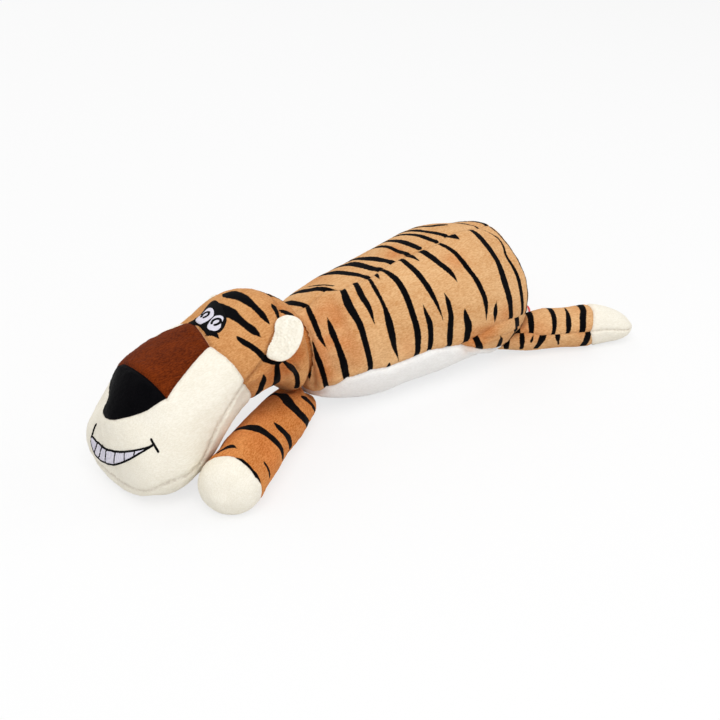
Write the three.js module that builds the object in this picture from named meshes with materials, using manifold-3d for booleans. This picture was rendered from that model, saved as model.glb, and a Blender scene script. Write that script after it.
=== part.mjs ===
// A plush tiger lying on its belly, in millimetres.
// +Z is up, the head points along -X and the toy's left side is -Y.
// Every stuffed form is a stack of smooth cross-sections, and its cloth is a thin shell cut along the seams.

import * as THREE from 'three';
import { mergeVertices } from 'three/addons/utils/BufferGeometryUtils.js';
import Module from 'manifold-3d';

const wasm = await Module();
wasm.setup();

// Cloth and stitching
const CLOTH = 2;
const SEAM_GAP = 0.3;
const FILL_GAP = 0.4;
const MOVING_GAP = 0.6;
const STITCH_THICKNESS = 0.5;
const STITCH_GAP = 0.3;
const STITCH_LINE = 1.5;
const OVERRUN = 20;
const FLOOR_PRESS = 2;

// Torso
const BODY_LENGTH = 213;
const BODY_WIDTH = 122;
const BODY_HEIGHT = 104;
const NECK_SETBACK = 2;

// Neck
const NECK_RADIUS = 27;
const NECK_OPENING = 14;
const NECK_HEIGHT = 50;
const NECK_GAP = 0.9;

// Head
const HEAD_LENGTH = 171;
const HEAD_WIDTH = 98;
const HEAD_HEIGHT = 110;
const HEAD_YAW = THREE.MathUtils.degToRad(8);

// Ears
const EAR_RADIUS = 17;
const EAR_REACH = 29;
const EAR_LAYER = 2.6;
const EAR_LIFT = 1.2;
const EAR_FOLD_BACK = THREE.MathUtils.degToRad(-15);
const EAR_FOLD_UP = THREE.MathUtils.degToRad(30);
const EAR_DROOP = THREE.MathUtils.degToRad(30);

// Forelegs
const ARM_LENGTH = 165;
const ARM_WIDTH = 44;
const ARM_THICKNESS = 38;
const ARM_ANGLE = THREE.MathUtils.degToRad(34);
const ARM_SIDE = 7.5;
const ARM_SETBACK = 10;
const ARM_SWING = THREE.MathUtils.degToRad(30);
const ARM_PIVOT_INSET = 16;
const CHEEK_GAP = 3;
const FAR_ARM_ANGLE = THREE.MathUtils.degToRad(153.6);
const FAR_ARM_SIDE = 24;
const FAR_ARM_SETBACK = 6;
const FAR_ARM_SWING = THREE.MathUtils.degToRad(40);

// Hind legs
const LEG_LENGTH = 127;
const LEG_WIDTH = 36;
const LEG_THICKNESS = 32;
const LEG_ANGLE = THREE.MathUtils.degToRad(24);
const LEG_SIDE = 34;
const LEG_FROM_RUMP = 35;
const LEG_SWING = THREE.MathUtils.degToRad(22);
const LEG_PIVOT_INSET = 8;

// Sewn label at the rump
const LABEL_LENGTH = 8;
const LABEL_WIDTH = 11;
const LABEL_THICKNESS = 0.8;
const LABEL_ANGLE = THREE.MathUtils.degToRad(-32);

// Sections along each form, as shares of its length, height, width, height and height,
// then the roundness exponent and how much the top draws in
const bodyShares = [
  [0, 0.442, 0, 0, 0, 2, 0],
  [0.019, 0.442, 0.23, 0.25, 0.25, 2.1, 0],
  [0.085, 0.413, 0.356, 0.37, 0.345, 2.2, 0],
  [0.216, 0.394, 0.418, 0.452, 0.404, 2.3, 0],
  [0.404, 0.394, 0.459, 0.51, 0.418, 2.3, 0],
  [0.592, 0.404, 0.492, 0.558, 0.428, 2.3, 0],
  [0.742, 0.423, 0.5, 0.577, 0.442, 2.25, 0],
  [0.873, 0.442, 0.48, 0.519, 0.433, 2.2, 0],
  [0.958, 0.471, 0.4, 0.43, 0.4, 2.1, 0],
  [1, 0.481, 0, 0, 0, 2, 0],
];
const headShares = [
  [0, 0.527, 0, 0, 0, 2, 0],
  [0.023, 0.527, 0.31, 0.28, 0.235, 2, 0],
  [0.094, 0.545, 0.429, 0.382, 0.327, 2.1, 0],
  [0.211, 0.62, 0.46, 0.38, 0.27, 2.1, 0],
  [0.351, 0.63, 0.45, 0.324, 0.27, 2.2, 0],
  [0.491, 0.58, 0.455, 0.311, 0.33, 2.25, 0.02],
  [0.655, 0.465, 0.487, 0.403, 0.42, 2.3, 0.1],
  [0.807, 0.409, 0.5, 0.427, 0.427, 2.3, 0.22],
  [0.901, 0.382, 0.439, 0.355, 0.382, 2.2, 0.22],
  [0.965, 0.345, 0.327, 0.227, 0.282, 2.1, 0.15],
  [1, 0.327, 0, 0, 0, 2, 0.1],
];
const armShares = [
  [0, 0.368, 0, 0, 0, 2, 0],
  [0.03, 0.368, 0.273, 0.24, 0.24, 2, 0],
  [0.109, 0.368, 0.409, 0.316, 0.316, 2.1, 0],
  [0.29, 0.421, 0.455, 0.395, 0.395, 2.1, 0],
  [0.485, 0.474, 0.477, 0.447, 0.48, 2.1, 0],
  [0.727, 0.5, 0.5, 0.5, 0.53, 2.1, 0],
  [0.909, 0.474, 0.477, 0.447, 0.49, 2.1, 0],
  [1, 0.447, 0, 0, 0, 2, 0],
];
const legShares = [
  [0, 0.4, 0, 0, 0, 2, 0],
  [0.031, 0.4, 0.3, 0.22, 0.22, 2, 0],
  [0.12, 0.42, 0.42, 0.32, 0.32, 2.1, 0],
  [0.3, 0.5, 0.49, 0.45, 0.47, 2.1, 0],
  [0.551, 0.52, 0.5, 0.5, 0.54, 2.1, 0],
  [0.772, 0.52, 0.472, 0.47, 0.54, 2.1, 0],
  [0.921, 0.5, 0.361, 0.344, 0.4, 2.1, 0],
  [1, 0.44, 0, 0, 0, 2, 0],
];

// Seams and patches, as shares of the length and height, length and width, or width and height
const bellySeamShares = [[-0.05, 0.29], [0.12, 0.31], [0.3, 0.325], [0.5, 0.345], [0.75, 0.35], [1.05, 0.36]];
const labelPlaceShares = [0.966, 0.312, 0.357];
const muzzleCornerShare = [0.452, 0.636];
const chinSeamShares = [
  [0.52, 0.57], [0.61, 0.47], [0.655, 0.395], [0.725, 0.28],
  [0.807, 0.236], [0.89, 0.212], [0.965, 0.13], [1.06, 0.06],
];
const backSeamShares = [[0.06, 1.1], [0.1, 0.97], [0.175, 0.92], [0.24, 0.87], [0.33, 0.765]];
const throatSeamShares = [[0.4, 0.38], [0.37, -0.1]];
const crownSeamShares = [[0.475, 0.745], [0.491, 0.82], [0.509, 0.885], [0.5, 1.1]];
const bridgeSeamShares = [[0.4, 0.15], [0.509, 0.174], [0.608, 0.224], [0.708, 0.275], [0.81, 0.322]];
const bridgeFrontShare = 0.81;
const noseShares = [[0.322, 1.1], [0.322, 0.73], [0.265, 0.672], [0.153, 0.615], [0.06, 0.57], [0, 0.558]];
const headTopShare = 1.1;
const eyePatchShares = [[0.5, 0.05], [0.47, 0.17], [0.4, 0.2], [0.32, 0.17], [0.3, 0.08], [0.345, 0]];
const eyeWhiteShares = [
  [0.445, 0.03], [0.43, 0.125], [0.375, 0.145], [0.34, 0.09], [0.36, 0.025], [0.405, 0.012],
];
const pupilShares = [0.425, 0.06, 0.016];
const lipShares = [[0, 0.355], [0.1, 0.368], [0.204, 0.409], [0.327, 0.455], [0.388, 0.482]];
const jawShares = [[0.388, 0.482], [0.347, 0.445], [0.296, 0.395], [0.194, 0.309], [0.082, 0.236], [0, 0.21]];
const toothShares = [0, 0.09, 0.175, 0.255];
const cuffShare = 0.835;
const footShare = 0.69;
const limbSeamShares = [
  [-0.1, 0.37], [0.1, 0.38], [0.26, 0.42], [0.46, 0.47], [0.7, 0.5], [0.9, 0.48], [1.1, 0.44],
];
const mouthDepthShare = 0.75;
const poleShare = 0.35;
const earBaseShares = [0.275, 0.375, 0.82];
const earRootShare = 0.62;
const earSeamShares = [0.096, 0.066, -0.113];
const earOutDirection = new THREE.Vector3(-0.62, 0.78, 0.06).normalize();

// Materials
const cloth = (name, color) => new THREE.MeshStandardMaterial({ name, color, roughness: 0.95, metalness: 0 });
const ORANGE = cloth('orange plush', 0xe0ad78);
const DEEP_ORANGE = cloth('deep orange plush', 0xcf8440);
const BROWN = cloth('brown plush', 0x8a4618);
const BLACK = cloth('black plush', 0x161414);
const CREAM = cloth('cream plush', 0xefe9dd);
const GREY_WHITE = cloth('belly plush', 0xdedfe3);
const THREAD_BLACK = cloth('black thread', 0x101010);
const THREAD_WHITE = cloth('pale thread', 0xe8e6f2);
const FILL = cloth('polyester fill', 0xf6f6f4);
const TAPE = cloth('label tape', 0xf4efee);

// A closed mesh as a solid
function solidOf(geometry) {
  const plain = geometry.clone();
  plain.deleteAttribute('normal');
  plain.deleteAttribute('uv');
  const merged = mergeVertices(plain);
  const vertProperties = new Float32Array(merged.attributes.position.array);
  const triVerts = new Uint32Array(merged.index.array);
  return new wasm.Manifold(new wasm.Mesh({ numProp: 3, vertProperties, triVerts }));
}

// A solid as a named mesh
function meshOf(name, solid, material) {
  const { numProp, vertProperties, triVerts } = solid.getMesh();
  const position = new Float32Array((vertProperties.length / numProp) * 3);
  for (let i = 0; i < position.length / 3; i += 1) {
    position.set(vertProperties.subarray(i * numProp, i * numProp + 3), i * 3);
  }
  const geometry = new THREE.BufferGeometry();
  geometry.setAttribute('position', new THREE.BufferAttribute(position, 3));
  geometry.setIndex(new THREE.BufferAttribute(new Uint32Array(triVerts), 1));
  geometry.computeVertexNormals();
  const mesh = new THREE.Mesh(geometry, material);
  mesh.name = name;
  return mesh;
}

// A row of the table at place t, on a smooth curve whose radii turn over at both poles
function sectionAt(rows, t) {
  const last = rows.length - 1;
  const i = Math.min(Math.floor(t), last - 1);
  const mirrored = (row) => [-row[0], row[1], -row[2], -row[3], -row[4], row[5], row[6]];
  const before = i > 0 ? rows[i - 1] : mirrored(rows[1]);
  const beyond = mirrored(rows[last - 1]);
  beyond[0] = 2 * rows[last][0] - rows[last - 1][0];
  if (i === 0) {
    before[0] = 2 * rows[0][0] - rows[1][0];
  }
  const after = i + 2 <= last ? rows[i + 2] : beyond;
  const f = t - i;
  return rows[i].map((b, k) => {
    const [a, c, d] = [before[k], rows[i + 1][k], after[k]];
    const bend = 2 * a - 5 * b + 4 * c - d;
    return 0.5 * (2 * b + (c - a) * f + bend * f * f + (3 * b - a - 3 * c + d) * f * f * f);
  });
}

// The stuffed form of a table, its skin moved out by offset and its underside pressed flat on the floor
function form({ shares, length, width, height, rings, sides, offset = 0, pressed = true }) {
  const position = [];
  const index = [];
  const last = shares.length - 1;
  const power = (value, exponent) => Math.sign(value) * Math.abs(value) ** (2 / exponent);
  const ringPlace = (ring) => {
    const even = (ring / rings) * last;
    const bunched = last * (0.5 - 0.5 * Math.cos((Math.PI * even) / last));
    return bunched * poleShare + even * (1 - poleShare);
  };
  const push = (section, angle) => {
    const [along, middle, half, up, down, exponent, taper] = section;
    const across = power(Math.cos(angle), exponent);
    const rise = power(Math.sin(angle), exponent);
    const span = (rise > 0 ? up : down) * height;
    position.push(along * length, half * width * across * (1 - taper * rise), middle * height + span * rise);
  };
  push(shares[0], 0);
  for (let ring = 1; ring < rings; ring += 1) {
    const section = sectionAt(shares, ringPlace(ring));
    for (let side = 0; side < sides; side += 1) {
      push(section, (side / sides) * 2 * Math.PI);
    }
  }
  push(shares[last], 0);
  const tip = position.length / 3 - 1;
  const at = (ring, side) => 1 + (ring - 1) * sides + (side % sides);
  for (let side = 0; side < sides; side += 1) {
    index.push(0, at(1, side + 1), at(1, side));
    index.push(tip, at(rings - 1, side), at(rings - 1, side + 1));
    for (let ring = 1; ring < rings - 1; ring += 1) {
      index.push(at(ring, side), at(ring, side + 1), at(ring + 1, side + 1));
      index.push(at(ring, side), at(ring + 1, side + 1), at(ring + 1, side));
    }
  }
  const geometry = new THREE.BufferGeometry();
  geometry.setAttribute('position', new THREE.Float32BufferAttribute(position, 3));
  geometry.setIndex(index);
  geometry.computeVertexNormals();
  const { position: point, normal } = geometry.attributes;
  for (let i = 0; i < point.count; i += 1) {
    point.setX(i, point.getX(i) + normal.getX(i) * offset);
    point.setY(i, point.getY(i) + normal.getY(i) * offset);
    const z = point.getZ(i) + normal.getZ(i) * offset;
    point.setZ(i, pressed && z < FLOOR_PRESS - offset ? -offset : z);
  }
  return geometry;
}

// A plate of constant section, its outline in the plane of axes first and second
function prism(outline, first, second, from, to) {
  const shape = new THREE.Shape(outline.map(([a, b]) => new THREE.Vector2(a, b)));
  const geometry = new THREE.ExtrudeGeometry(shape, { depth: to - from, bevelEnabled: false });
  geometry.translate(0, 0, from);
  const third = new THREE.Vector3().crossVectors(first, second);
  geometry.applyMatrix4(new THREE.Matrix4().makeBasis(first, second, third));
  return solidOf(geometry);
}

const X = new THREE.Vector3(1, 0, 0);
const Y = new THREE.Vector3(0, 1, 0);
const Z = new THREE.Vector3(0, 0, 1);

// A smooth open line through the points
function smoothLine(points, steps) {
  const curve = new THREE.SplineCurve(points.map(([a, b]) => new THREE.Vector2(a, b)));
  return curve.getPoints(steps).map((p) => [p.x, p.y]);
}

// The outline of a strip of the given width along a line
function strip(line, width) {
  const sideAt = (i) => {
    const [a, b] = [line[Math.max(i - 1, 0)], line[Math.min(i + 1, line.length - 1)]];
    const long = Math.hypot(b[0] - a[0], b[1] - a[1]);
    return [(-(b[1] - a[1]) * width) / (2 * long), ((b[0] - a[0]) * width) / (2 * long)];
  };
  const left = line.map((p, i) => [p[0] + sideAt(i)[0], p[1] + sideAt(i)[1]]);
  const right = line.map((p, i) => [p[0] - sideAt(i)[0], p[1] - sideAt(i)[1]]);
  return [...left, ...right.reverse()];
}

const scaled = (shares, a, b) => shares.map(([u, v]) => [u * a, v * b]);
const mirrored = (points) => [...points].reverse().map(([a, b]) => [-a, b]);

// The cloth shell of a form
function shellOf(spec) {
  return solidOf(form(spec)).subtract(solidOf(form({ ...spec, offset: -CLOTH })));
}

// The fill of a form
function fillOf(spec) {
  return solidOf(form({ ...spec, offset: -CLOTH - FILL_GAP }));
}

// What a moving limb must leave free: the neighbour at every step of the limb's turn
function sweptBy(limb, neighbour, place, centre, axis, limits) {
  const steps = 5;
  let rest = limb;
  for (let i = 0; i <= steps; i += 1) {
    const angle = limits[0] + ((limits[1] - limits[0]) * i) / steps;
    const turn = new THREE.Matrix4().makeTranslation(centre.x, centre.y, centre.z);
    turn.multiply(new THREE.Matrix4().makeRotationAxis(axis, -angle));
    turn.multiply(new THREE.Matrix4().makeTranslation(-centre.x, -centre.y, -centre.z));
    const geometry = neighbour.clone().applyMatrix4(place.clone().invert()).applyMatrix4(turn);
    rest = rest.subtract(solidOf(geometry));
  }
  return rest;
}

// Placing matrix of a group turned about the vertical
function placed(x, y, turn) {
  return new THREE.Matrix4().makeTranslation(x, y, 0).multiply(new THREE.Matrix4().makeRotationZ(turn));
}

function groupAt(matrix, meshes) {
  const group = new THREE.Group();
  group.applyMatrix4(matrix);
  group.add(...meshes);
  return group;
}

function sized(shares, length, width, height, rings, sides) {
  return { shares, length, width, height, rings, sides };
}

const bodySpec = sized(bodyShares, BODY_LENGTH, BODY_WIDTH, BODY_HEIGHT, 11, 14);
const headSpec = sized(headShares, HEAD_LENGTH, HEAD_WIDTH, HEAD_HEIGHT, 12, 16);
const armSpec = sized(armShares, ARM_LENGTH, ARM_WIDTH, ARM_THICKNESS, 7, 8);
const legSpec = sized(legShares, LEG_LENGTH, LEG_WIDTH, LEG_THICKNESS, 6, 8);

// The neck joint is the origin of the plan while the pieces are made
const bodyPlace = placed(-NECK_SETBACK, 0, 0);
const headPlace = placed(0, 0, Math.PI + HEAD_YAW);
const headOtherWay = placed(0, 0, Math.PI - HEAD_YAW);

function neckBall(extra, around = 20, upright = 14) {
  return new THREE.SphereGeometry(NECK_RADIUS + extra, around, upright).translate(0, 0, NECK_HEIGHT);
}

// Neck: a short stuffed sleeve, round where the head and torso turn on it
function makeNeck() {
  const bore = new THREE.CylinderGeometry(NECK_OPENING, NECK_OPENING, 2 * (NECK_RADIUS + OVERRUN), 10);
  bore.rotateZ(Math.PI / 2).translate(0, 0, NECK_HEIGHT);
  const hollow = solidOf(neckBall(-CLOTH, 12, 8));
  const sleeve = solidOf(neckBall(0)).subtract(hollow).subtract(solidOf(bore));
  const fill = solidOf(neckBall(-CLOTH - FILL_GAP, 12, 8));
  const cover = meshOf('neck_sleeve', sleeve, DEEP_ORANGE);
  return groupAt(new THREE.Matrix4(), [cover, meshOf('neck_fill', fill, FILL)]);
}

// Label: a bare tab sewn into the belly seam behind the left leg
function makeLabel() {
  const [along, across, up] = labelPlaceShares;
  const tab = new THREE.BoxGeometry(2 * LABEL_LENGTH, LABEL_WIDTH, LABEL_THICKNESS).rotateZ(LABEL_ANGLE);
  tab.translate(along * BODY_LENGTH, -across * BODY_WIDTH, up * BODY_HEIGHT);
  return solidOf(tab).subtract(solidOf(form({ ...bodySpec, offset: SEAM_GAP, pressed: false })));
}

// Torso: two flanks joined along the back, a pale belly, the fill and the label
function makeBody() {
  const socket = solidOf(neckBall(NECK_GAP).translate(NECK_SETBACK, 0, 0));
  const shell = shellOf(bodySpec).subtract(socket);
  const line = smoothLine(scaled(bellySeamShares, BODY_LENGTH, BODY_HEIGHT), 7);
  const side = BODY_WIDTH / 2 + OVERRUN;
  const ends = [-OVERRUN, BODY_LENGTH + OVERRUN];
  const bellyCut = prism(strip(line, SEAM_GAP), X, Z, -side, side);
  const backLine = ends.map((x) => [x, 0]);
  const backCut = prism(strip(backLine, SEAM_GAP), X, Y, -OVERRUN, BODY_HEIGHT + OVERRUN);
  const first = line[0];
  const last = line[line.length - 1];
  const roof = BODY_HEIGHT + OVERRUN;
  const above = prism([...line, [last[0], roof], [first[0], roof]], X, Z, -side, side);
  const flanks = shell.subtract(bellyCut).intersect(above);
  const half = prism([...backLine, [ends[1], side], [ends[0], side]], X, Y, -OVERRUN, roof);
  const cutFlanks = flanks.subtract(backCut);
  return groupAt(bodyPlace, [
    meshOf('left_flank_panel', cutFlanks.subtract(half), ORANGE),
    meshOf('right_flank_panel', cutFlanks.intersect(half), ORANGE),
    meshOf('belly_panel', shell.subtract(bellyCut).subtract(above), GREY_WHITE),
    meshOf('body_fill', fillOf(bodySpec).subtract(socket), FILL),
    meshOf('sewn_label', makeLabel(), TAPE),
  ]);
}

// The seam lines of the head, in its own side view and plan
function headSeams() {
  const corner = [muzzleCornerShare[0] * HEAD_LENGTH, muzzleCornerShare[1] * HEAD_HEIGHT];
  const side = (shares) => scaled(shares, HEAD_LENGTH, HEAD_HEIGHT);
  return {
    corner,
    chin: smoothLine([corner, ...side(chinSeamShares)], 11),
    back: smoothLine([...side(backSeamShares), corner], 6),
    throat: smoothLine([corner, ...side(throatSeamShares)], 4),
    crown: smoothLine([corner, ...side(crownSeamShares)], 6),
    bridge: smoothLine(scaled(bridgeSeamShares, HEAD_LENGTH, HEAD_WIDTH), 5),
  };
}

// Head cloth: crown, back, brown bridge, black nose, pale muzzle and pale chin
function makeHeadCloth(socket) {
  const seams = headSeams();
  const side = HEAD_WIDTH / 2 + OVERRUN;
  const top = headTopShare * HEAD_HEIGHT;
  const front = HEAD_LENGTH + OVERRUN;
  const noseAt = bridgeFrontShare * HEAD_LENGTH;
  const noseHalf = scaled(noseShares, HEAD_WIDTH, HEAD_HEIGHT);
  const noseOutline = [...noseHalf, ...mirrored(noseHalf).slice(1)];
  const cut = (line) => prism(strip(line, SEAM_GAP), X, Z, -side, side);
  const backEdge = [...seams.back, ...seams.throat.slice(1), [-OVERRUN, -OVERRUN], [-OVERRUN, top]];
  const backZone = prism(backEdge, X, Z, -side, side);
  const chinEdge = [...[...seams.throat].reverse(), ...seams.chin.slice(1), [front, -OVERRUN]];
  const chinZone = prism(chinEdge, X, Z, -side, side);
  const crownZone = prism([...seams.crown, ...seams.back.slice(0, -1)], X, Z, -side, side);
  const bridgePlan = [...seams.bridge, ...seams.bridge.map(([a, b]) => [a, -b]).reverse()];
  const bridgeBase = HEAD_HEIGHT / 2;
  const bridgeZone = prism(bridgePlan, X, Y, bridgeBase, top);
  const noseZone = prism(noseOutline, Y, Z, noseAt + SEAM_GAP / 2, front);
  const noseLine = noseHalf.slice(1);
  const noseBorder = [...noseLine, ...mirrored(noseLine).slice(1)];
  const sideCut = prism(strip(seams.bridge, SEAM_GAP), X, Y, bridgeBase, top);
  const otherCut = prism(strip(seams.bridge.map(([a, b]) => [a, -b]), SEAM_GAP), X, Y, bridgeBase, top);
  const bridgeWide = bridgeSeamShares[bridgeSeamShares.length - 1][1] * HEAD_WIDTH;
  const frontLine = [-bridgeWide, bridgeWide].map((y) => [noseAt + SEAM_GAP / 2, y]);
  const frontCut = prism(strip(frontLine, SEAM_GAP), X, Y, bridgeBase, top);
  const noseCut = prism(strip(noseBorder, SEAM_GAP), Y, Z, noseAt, front);
  const whole = shellOf(headSpec).subtract(socket);
  const seamLines = [seams.back, seams.throat, seams.chin, seams.crown];
  const sewn = seamLines.reduce((cloth, line) => cloth.subtract(cut(line)), whole);
  const face = sewn.subtract(backZone).subtract(chinZone).subtract(crownZone);
  const nose = face.subtract(noseCut).subtract(frontCut).intersect(noseZone);
  const bridge = face.subtract(sideCut).subtract(otherCut).subtract(frontCut).intersect(bridgeZone);
  const around = [sideCut, otherCut, noseCut, frontCut, noseZone, bridgeZone];
  const muzzle = around.reduce((cloth, zone) => cloth.subtract(zone), face);
  return [
    meshOf('crown_panel', sewn.intersect(crownZone), ORANGE),
    meshOf('head_back_panel', sewn.intersect(backZone), ORANGE),
    meshOf('bridge_panel', bridge, BROWN),
    meshOf('nose_panel', nose, BLACK),
    meshOf('muzzle_panel', muzzle, CREAM),
    meshOf('chin_panel', sewn.intersect(chinZone), CREAM),
  ];
}

// A layer of stitching over the head's cloth, counted from the cloth outwards
function stitchLayer(level) {
  const base = STITCH_GAP + level * (STITCH_THICKNESS + STITCH_GAP);
  const outer = solidOf(form({ ...headSpec, offset: base + STITCH_THICKNESS, pressed: false }));
  return outer.subtract(solidOf(form({ ...headSpec, offset: base, pressed: false })));
}

// Stitched eyes and grin
function makeFace() {
  const layers = [0, 1, 2].map(stitchLayer);
  const top = headTopShare * HEAD_HEIGHT;
  const upper = HEAD_HEIGHT / 2;
  const patchHalf = smoothLine(scaled(eyePatchShares, HEAD_LENGTH, HEAD_WIDTH), 12);
  const patchOther = patchHalf.map(([a, b]) => [a, -b]).reverse();
  const patch = prism([...patchHalf, ...patchOther.slice(1)], X, Y, upper, top);
  const eye = (sign) => {
    const points = scaled(eyeWhiteShares, HEAD_LENGTH, HEAD_WIDTH * sign);
    const curve = new THREE.SplineCurve([...points, points[0]].map(([a, b]) => new THREE.Vector2(a, b)));
    const outline = curve.getPoints(12).slice(0, -1).map((p) => [p.x, p.y]);
    return prism(outline, X, Y, upper, top);
  };
  const pupil = (sign) => {
    const [along, across, radius] = pupilShares;
    const disc = new THREE.CylinderGeometry(radius * HEAD_LENGTH, radius * HEAD_LENGTH, top - upper, 12);
    disc.rotateX(Math.PI / 2).translate(along * HEAD_LENGTH, sign * across * HEAD_WIDTH, (top + upper) / 2);
    return solidOf(disc);
  };
  const lip = smoothLine(scaled(lipShares, HEAD_WIDTH, HEAD_HEIGHT), 6);
  const jaw = smoothLine(scaled(jawShares, HEAD_WIDTH, HEAD_HEIGHT), 7);
  const lipLine = [...mirrored(lip).slice(0, -1), ...lip];
  const jawLine = [...jaw, ...mirrored(jaw).slice(1)];
  const mouthFrom = mouthDepthShare * HEAD_LENGTH;
  const mouthTo = HEAD_LENGTH + OVERRUN;
  const teeth = prism([...lipLine, ...jawLine.slice(1, -1)], Y, Z, mouthFrom, mouthTo);
  let lines = prism(strip(lipLine, STITCH_LINE), Y, Z, mouthFrom, mouthTo);
  lines = lines.add(prism(strip(jawLine, STITCH_LINE), Y, Z, mouthFrom, mouthTo));
  for (const share of toothShares) {
    for (const sign of share > 0 ? [-1, 1] : [1]) {
      const y = sign * share * HEAD_WIDTH;
      const bar = prism(strip([[y, 0], [y, HEAD_HEIGHT]], STITCH_LINE), Y, Z, mouthFrom, mouthTo);
      lines = lines.add(bar.intersect(teeth));
    }
  }
  return [
    meshOf('eye_patch', layers[0].intersect(patch), THREAD_BLACK),
    meshOf('left_eye_white', layers[1].intersect(eye(1)), THREAD_WHITE),
    meshOf('right_eye_white', layers[1].intersect(eye(-1)), THREAD_WHITE),
    meshOf('left_pupil', layers[2].intersect(pupil(1)), THREAD_BLACK),
    meshOf('right_pupil', layers[2].intersect(pupil(-1)), THREAD_BLACK),
    meshOf('teeth_patch', layers[0].intersect(teeth), THREAD_WHITE),
    meshOf('grin_line', layers[1].intersect(lines), THREAD_BLACK),
  ];
}

// The ear's own axes: out of the head, along its seam and through its thickness
function earFrame(sign) {
  const mirror = new THREE.Vector3(1, sign, 1);
  const headSize = new THREE.Vector3(HEAD_LENGTH, HEAD_WIDTH, HEAD_HEIGHT);
  const along = new THREE.Vector3(...earSeamShares).multiply(headSize).normalize().multiply(mirror);
  const out = earOutDirection.clone().multiply(mirror);
  const through = new THREE.Vector3().crossVectors(along, out).normalize().multiplyScalar(sign);
  out.crossVectors(through, along).multiplyScalar(sign).normalize();
  const droop = sign > 0 ? 0 : -EAR_DROOP;
  out.applyAxisAngle(along, sign * droop);
  through.applyAxisAngle(along, sign * droop);
  const base = new THREE.Vector3(...earBaseShares).multiply(headSize).multiply(mirror);
  return { along, out, through, base };
}

// Ear: a pale front and a striped back, sewn edge to edge; the right one droops at rest
function makeEar(sign, name) {
  const { along, out, through, base } = earFrame(sign);
  const outline = [];
  const halfTurn = 9;
  for (let i = 0; i <= halfTurn; i += 1) {
    const angle = -Math.PI / 2 + (Math.PI * i) / halfTurn;
    outline.push([EAR_REACH - EAR_RADIUS + EAR_RADIUS * Math.cos(angle), EAR_RADIUS * Math.sin(angle)]);
  }
  const root = earRootShare * EAR_RADIUS;
  outline.push([0, root], [-EAR_RADIUS / 2, root], [-EAR_RADIUS / 2, -root], [0, -root]);
  const shape = new THREE.Shape(outline.map(([a, b]) => new THREE.Vector2(a, b)));
  const layer = (from) => {
    const geometry = new THREE.ExtrudeGeometry(shape, { depth: EAR_LAYER, bevelEnabled: false });
    geometry.translate(0, 0, from);
    const second = new THREE.Vector3().crossVectors(through, out);
    geometry.applyMatrix4(new THREE.Matrix4().makeBasis(out, second, through).setPosition(base));
    return solidOf(geometry);
  };
  const head = form({ ...headSpec, offset: EAR_LIFT / 2, pressed: false });
  const limits = sign > 0 ? [EAR_FOLD_BACK, EAR_FOLD_UP] : [0, EAR_FOLD_UP + EAR_DROOP];
  const axis = along.clone().multiplyScalar(sign);
  const cut = (solid) => sweptBy(solid, head, new THREE.Matrix4(), base, axis, limits);
  return [
    meshOf(`${name}_ear_front`, cut(layer(SEAM_GAP / 2)), CREAM),
    meshOf(`${name}_ear_back`, cut(layer(-EAR_LAYER - SEAM_GAP / 2)), ORANGE),
  ];
}

// Head: cloth, fill, stitched face and ears
function makeHead() {
  const socket = solidOf(neckBall(NECK_GAP));
  const fill = fillOf(headSpec).subtract(socket);
  return groupAt(headPlace, [
    ...makeHeadCloth(socket),
    meshOf('head_fill', fill, FILL),
    ...makeFace(),
    ...makeEar(1, 'left'),
    ...makeEar(-1, 'right'),
  ]);
}

// Limb: an upper and a lower sleeve, an upper and a lower paw, and the fill
function makeLimb(spec, place, pawShare, names, cut, upperMaterial) {
  const side = spec.width / 2 + OVERRUN;
  const line = smoothLine(scaled(limbSeamShares, spec.length, spec.height), 5);
  const ends = [line[0][0], line[line.length - 1][0]];
  const ceiling = spec.height + OVERRUN;
  const above = prism([...line, [ends[1], ceiling], [ends[0], ceiling]], X, Z, -side, side);
  const seam = prism(strip(line, SEAM_GAP), X, Z, -side, side);
  const wristAt = pawShare * spec.length;
  const corners = (from, to) => [[from, -side], [to, -side], [to, side], [from, side]];
  const box = (from, to) => prism(corners(from, to), X, Y, -OVERRUN, ceiling);
  const shell = cut(shellOf(spec)).subtract(seam).subtract(box(wristAt - SEAM_GAP / 2, wristAt + SEAM_GAP / 2));
  const paw = box(wristAt, ends[1] + OVERRUN);
  const upper = shell.intersect(above);
  const lower = shell.subtract(above);
  return groupAt(place, [
    meshOf(`${names[0]}_upper`, upper.subtract(paw), upperMaterial),
    meshOf(`${names[0]}_lower`, lower.subtract(paw), upperMaterial),
    meshOf(`${names[1]}_upper`, upper.intersect(paw), CREAM),
    meshOf(`${names[1]}_lower`, lower.intersect(paw), CREAM),
    meshOf(`${names[2]}_fill`, cut(fillOf(spec)), FILL),
  ]);
}

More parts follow.
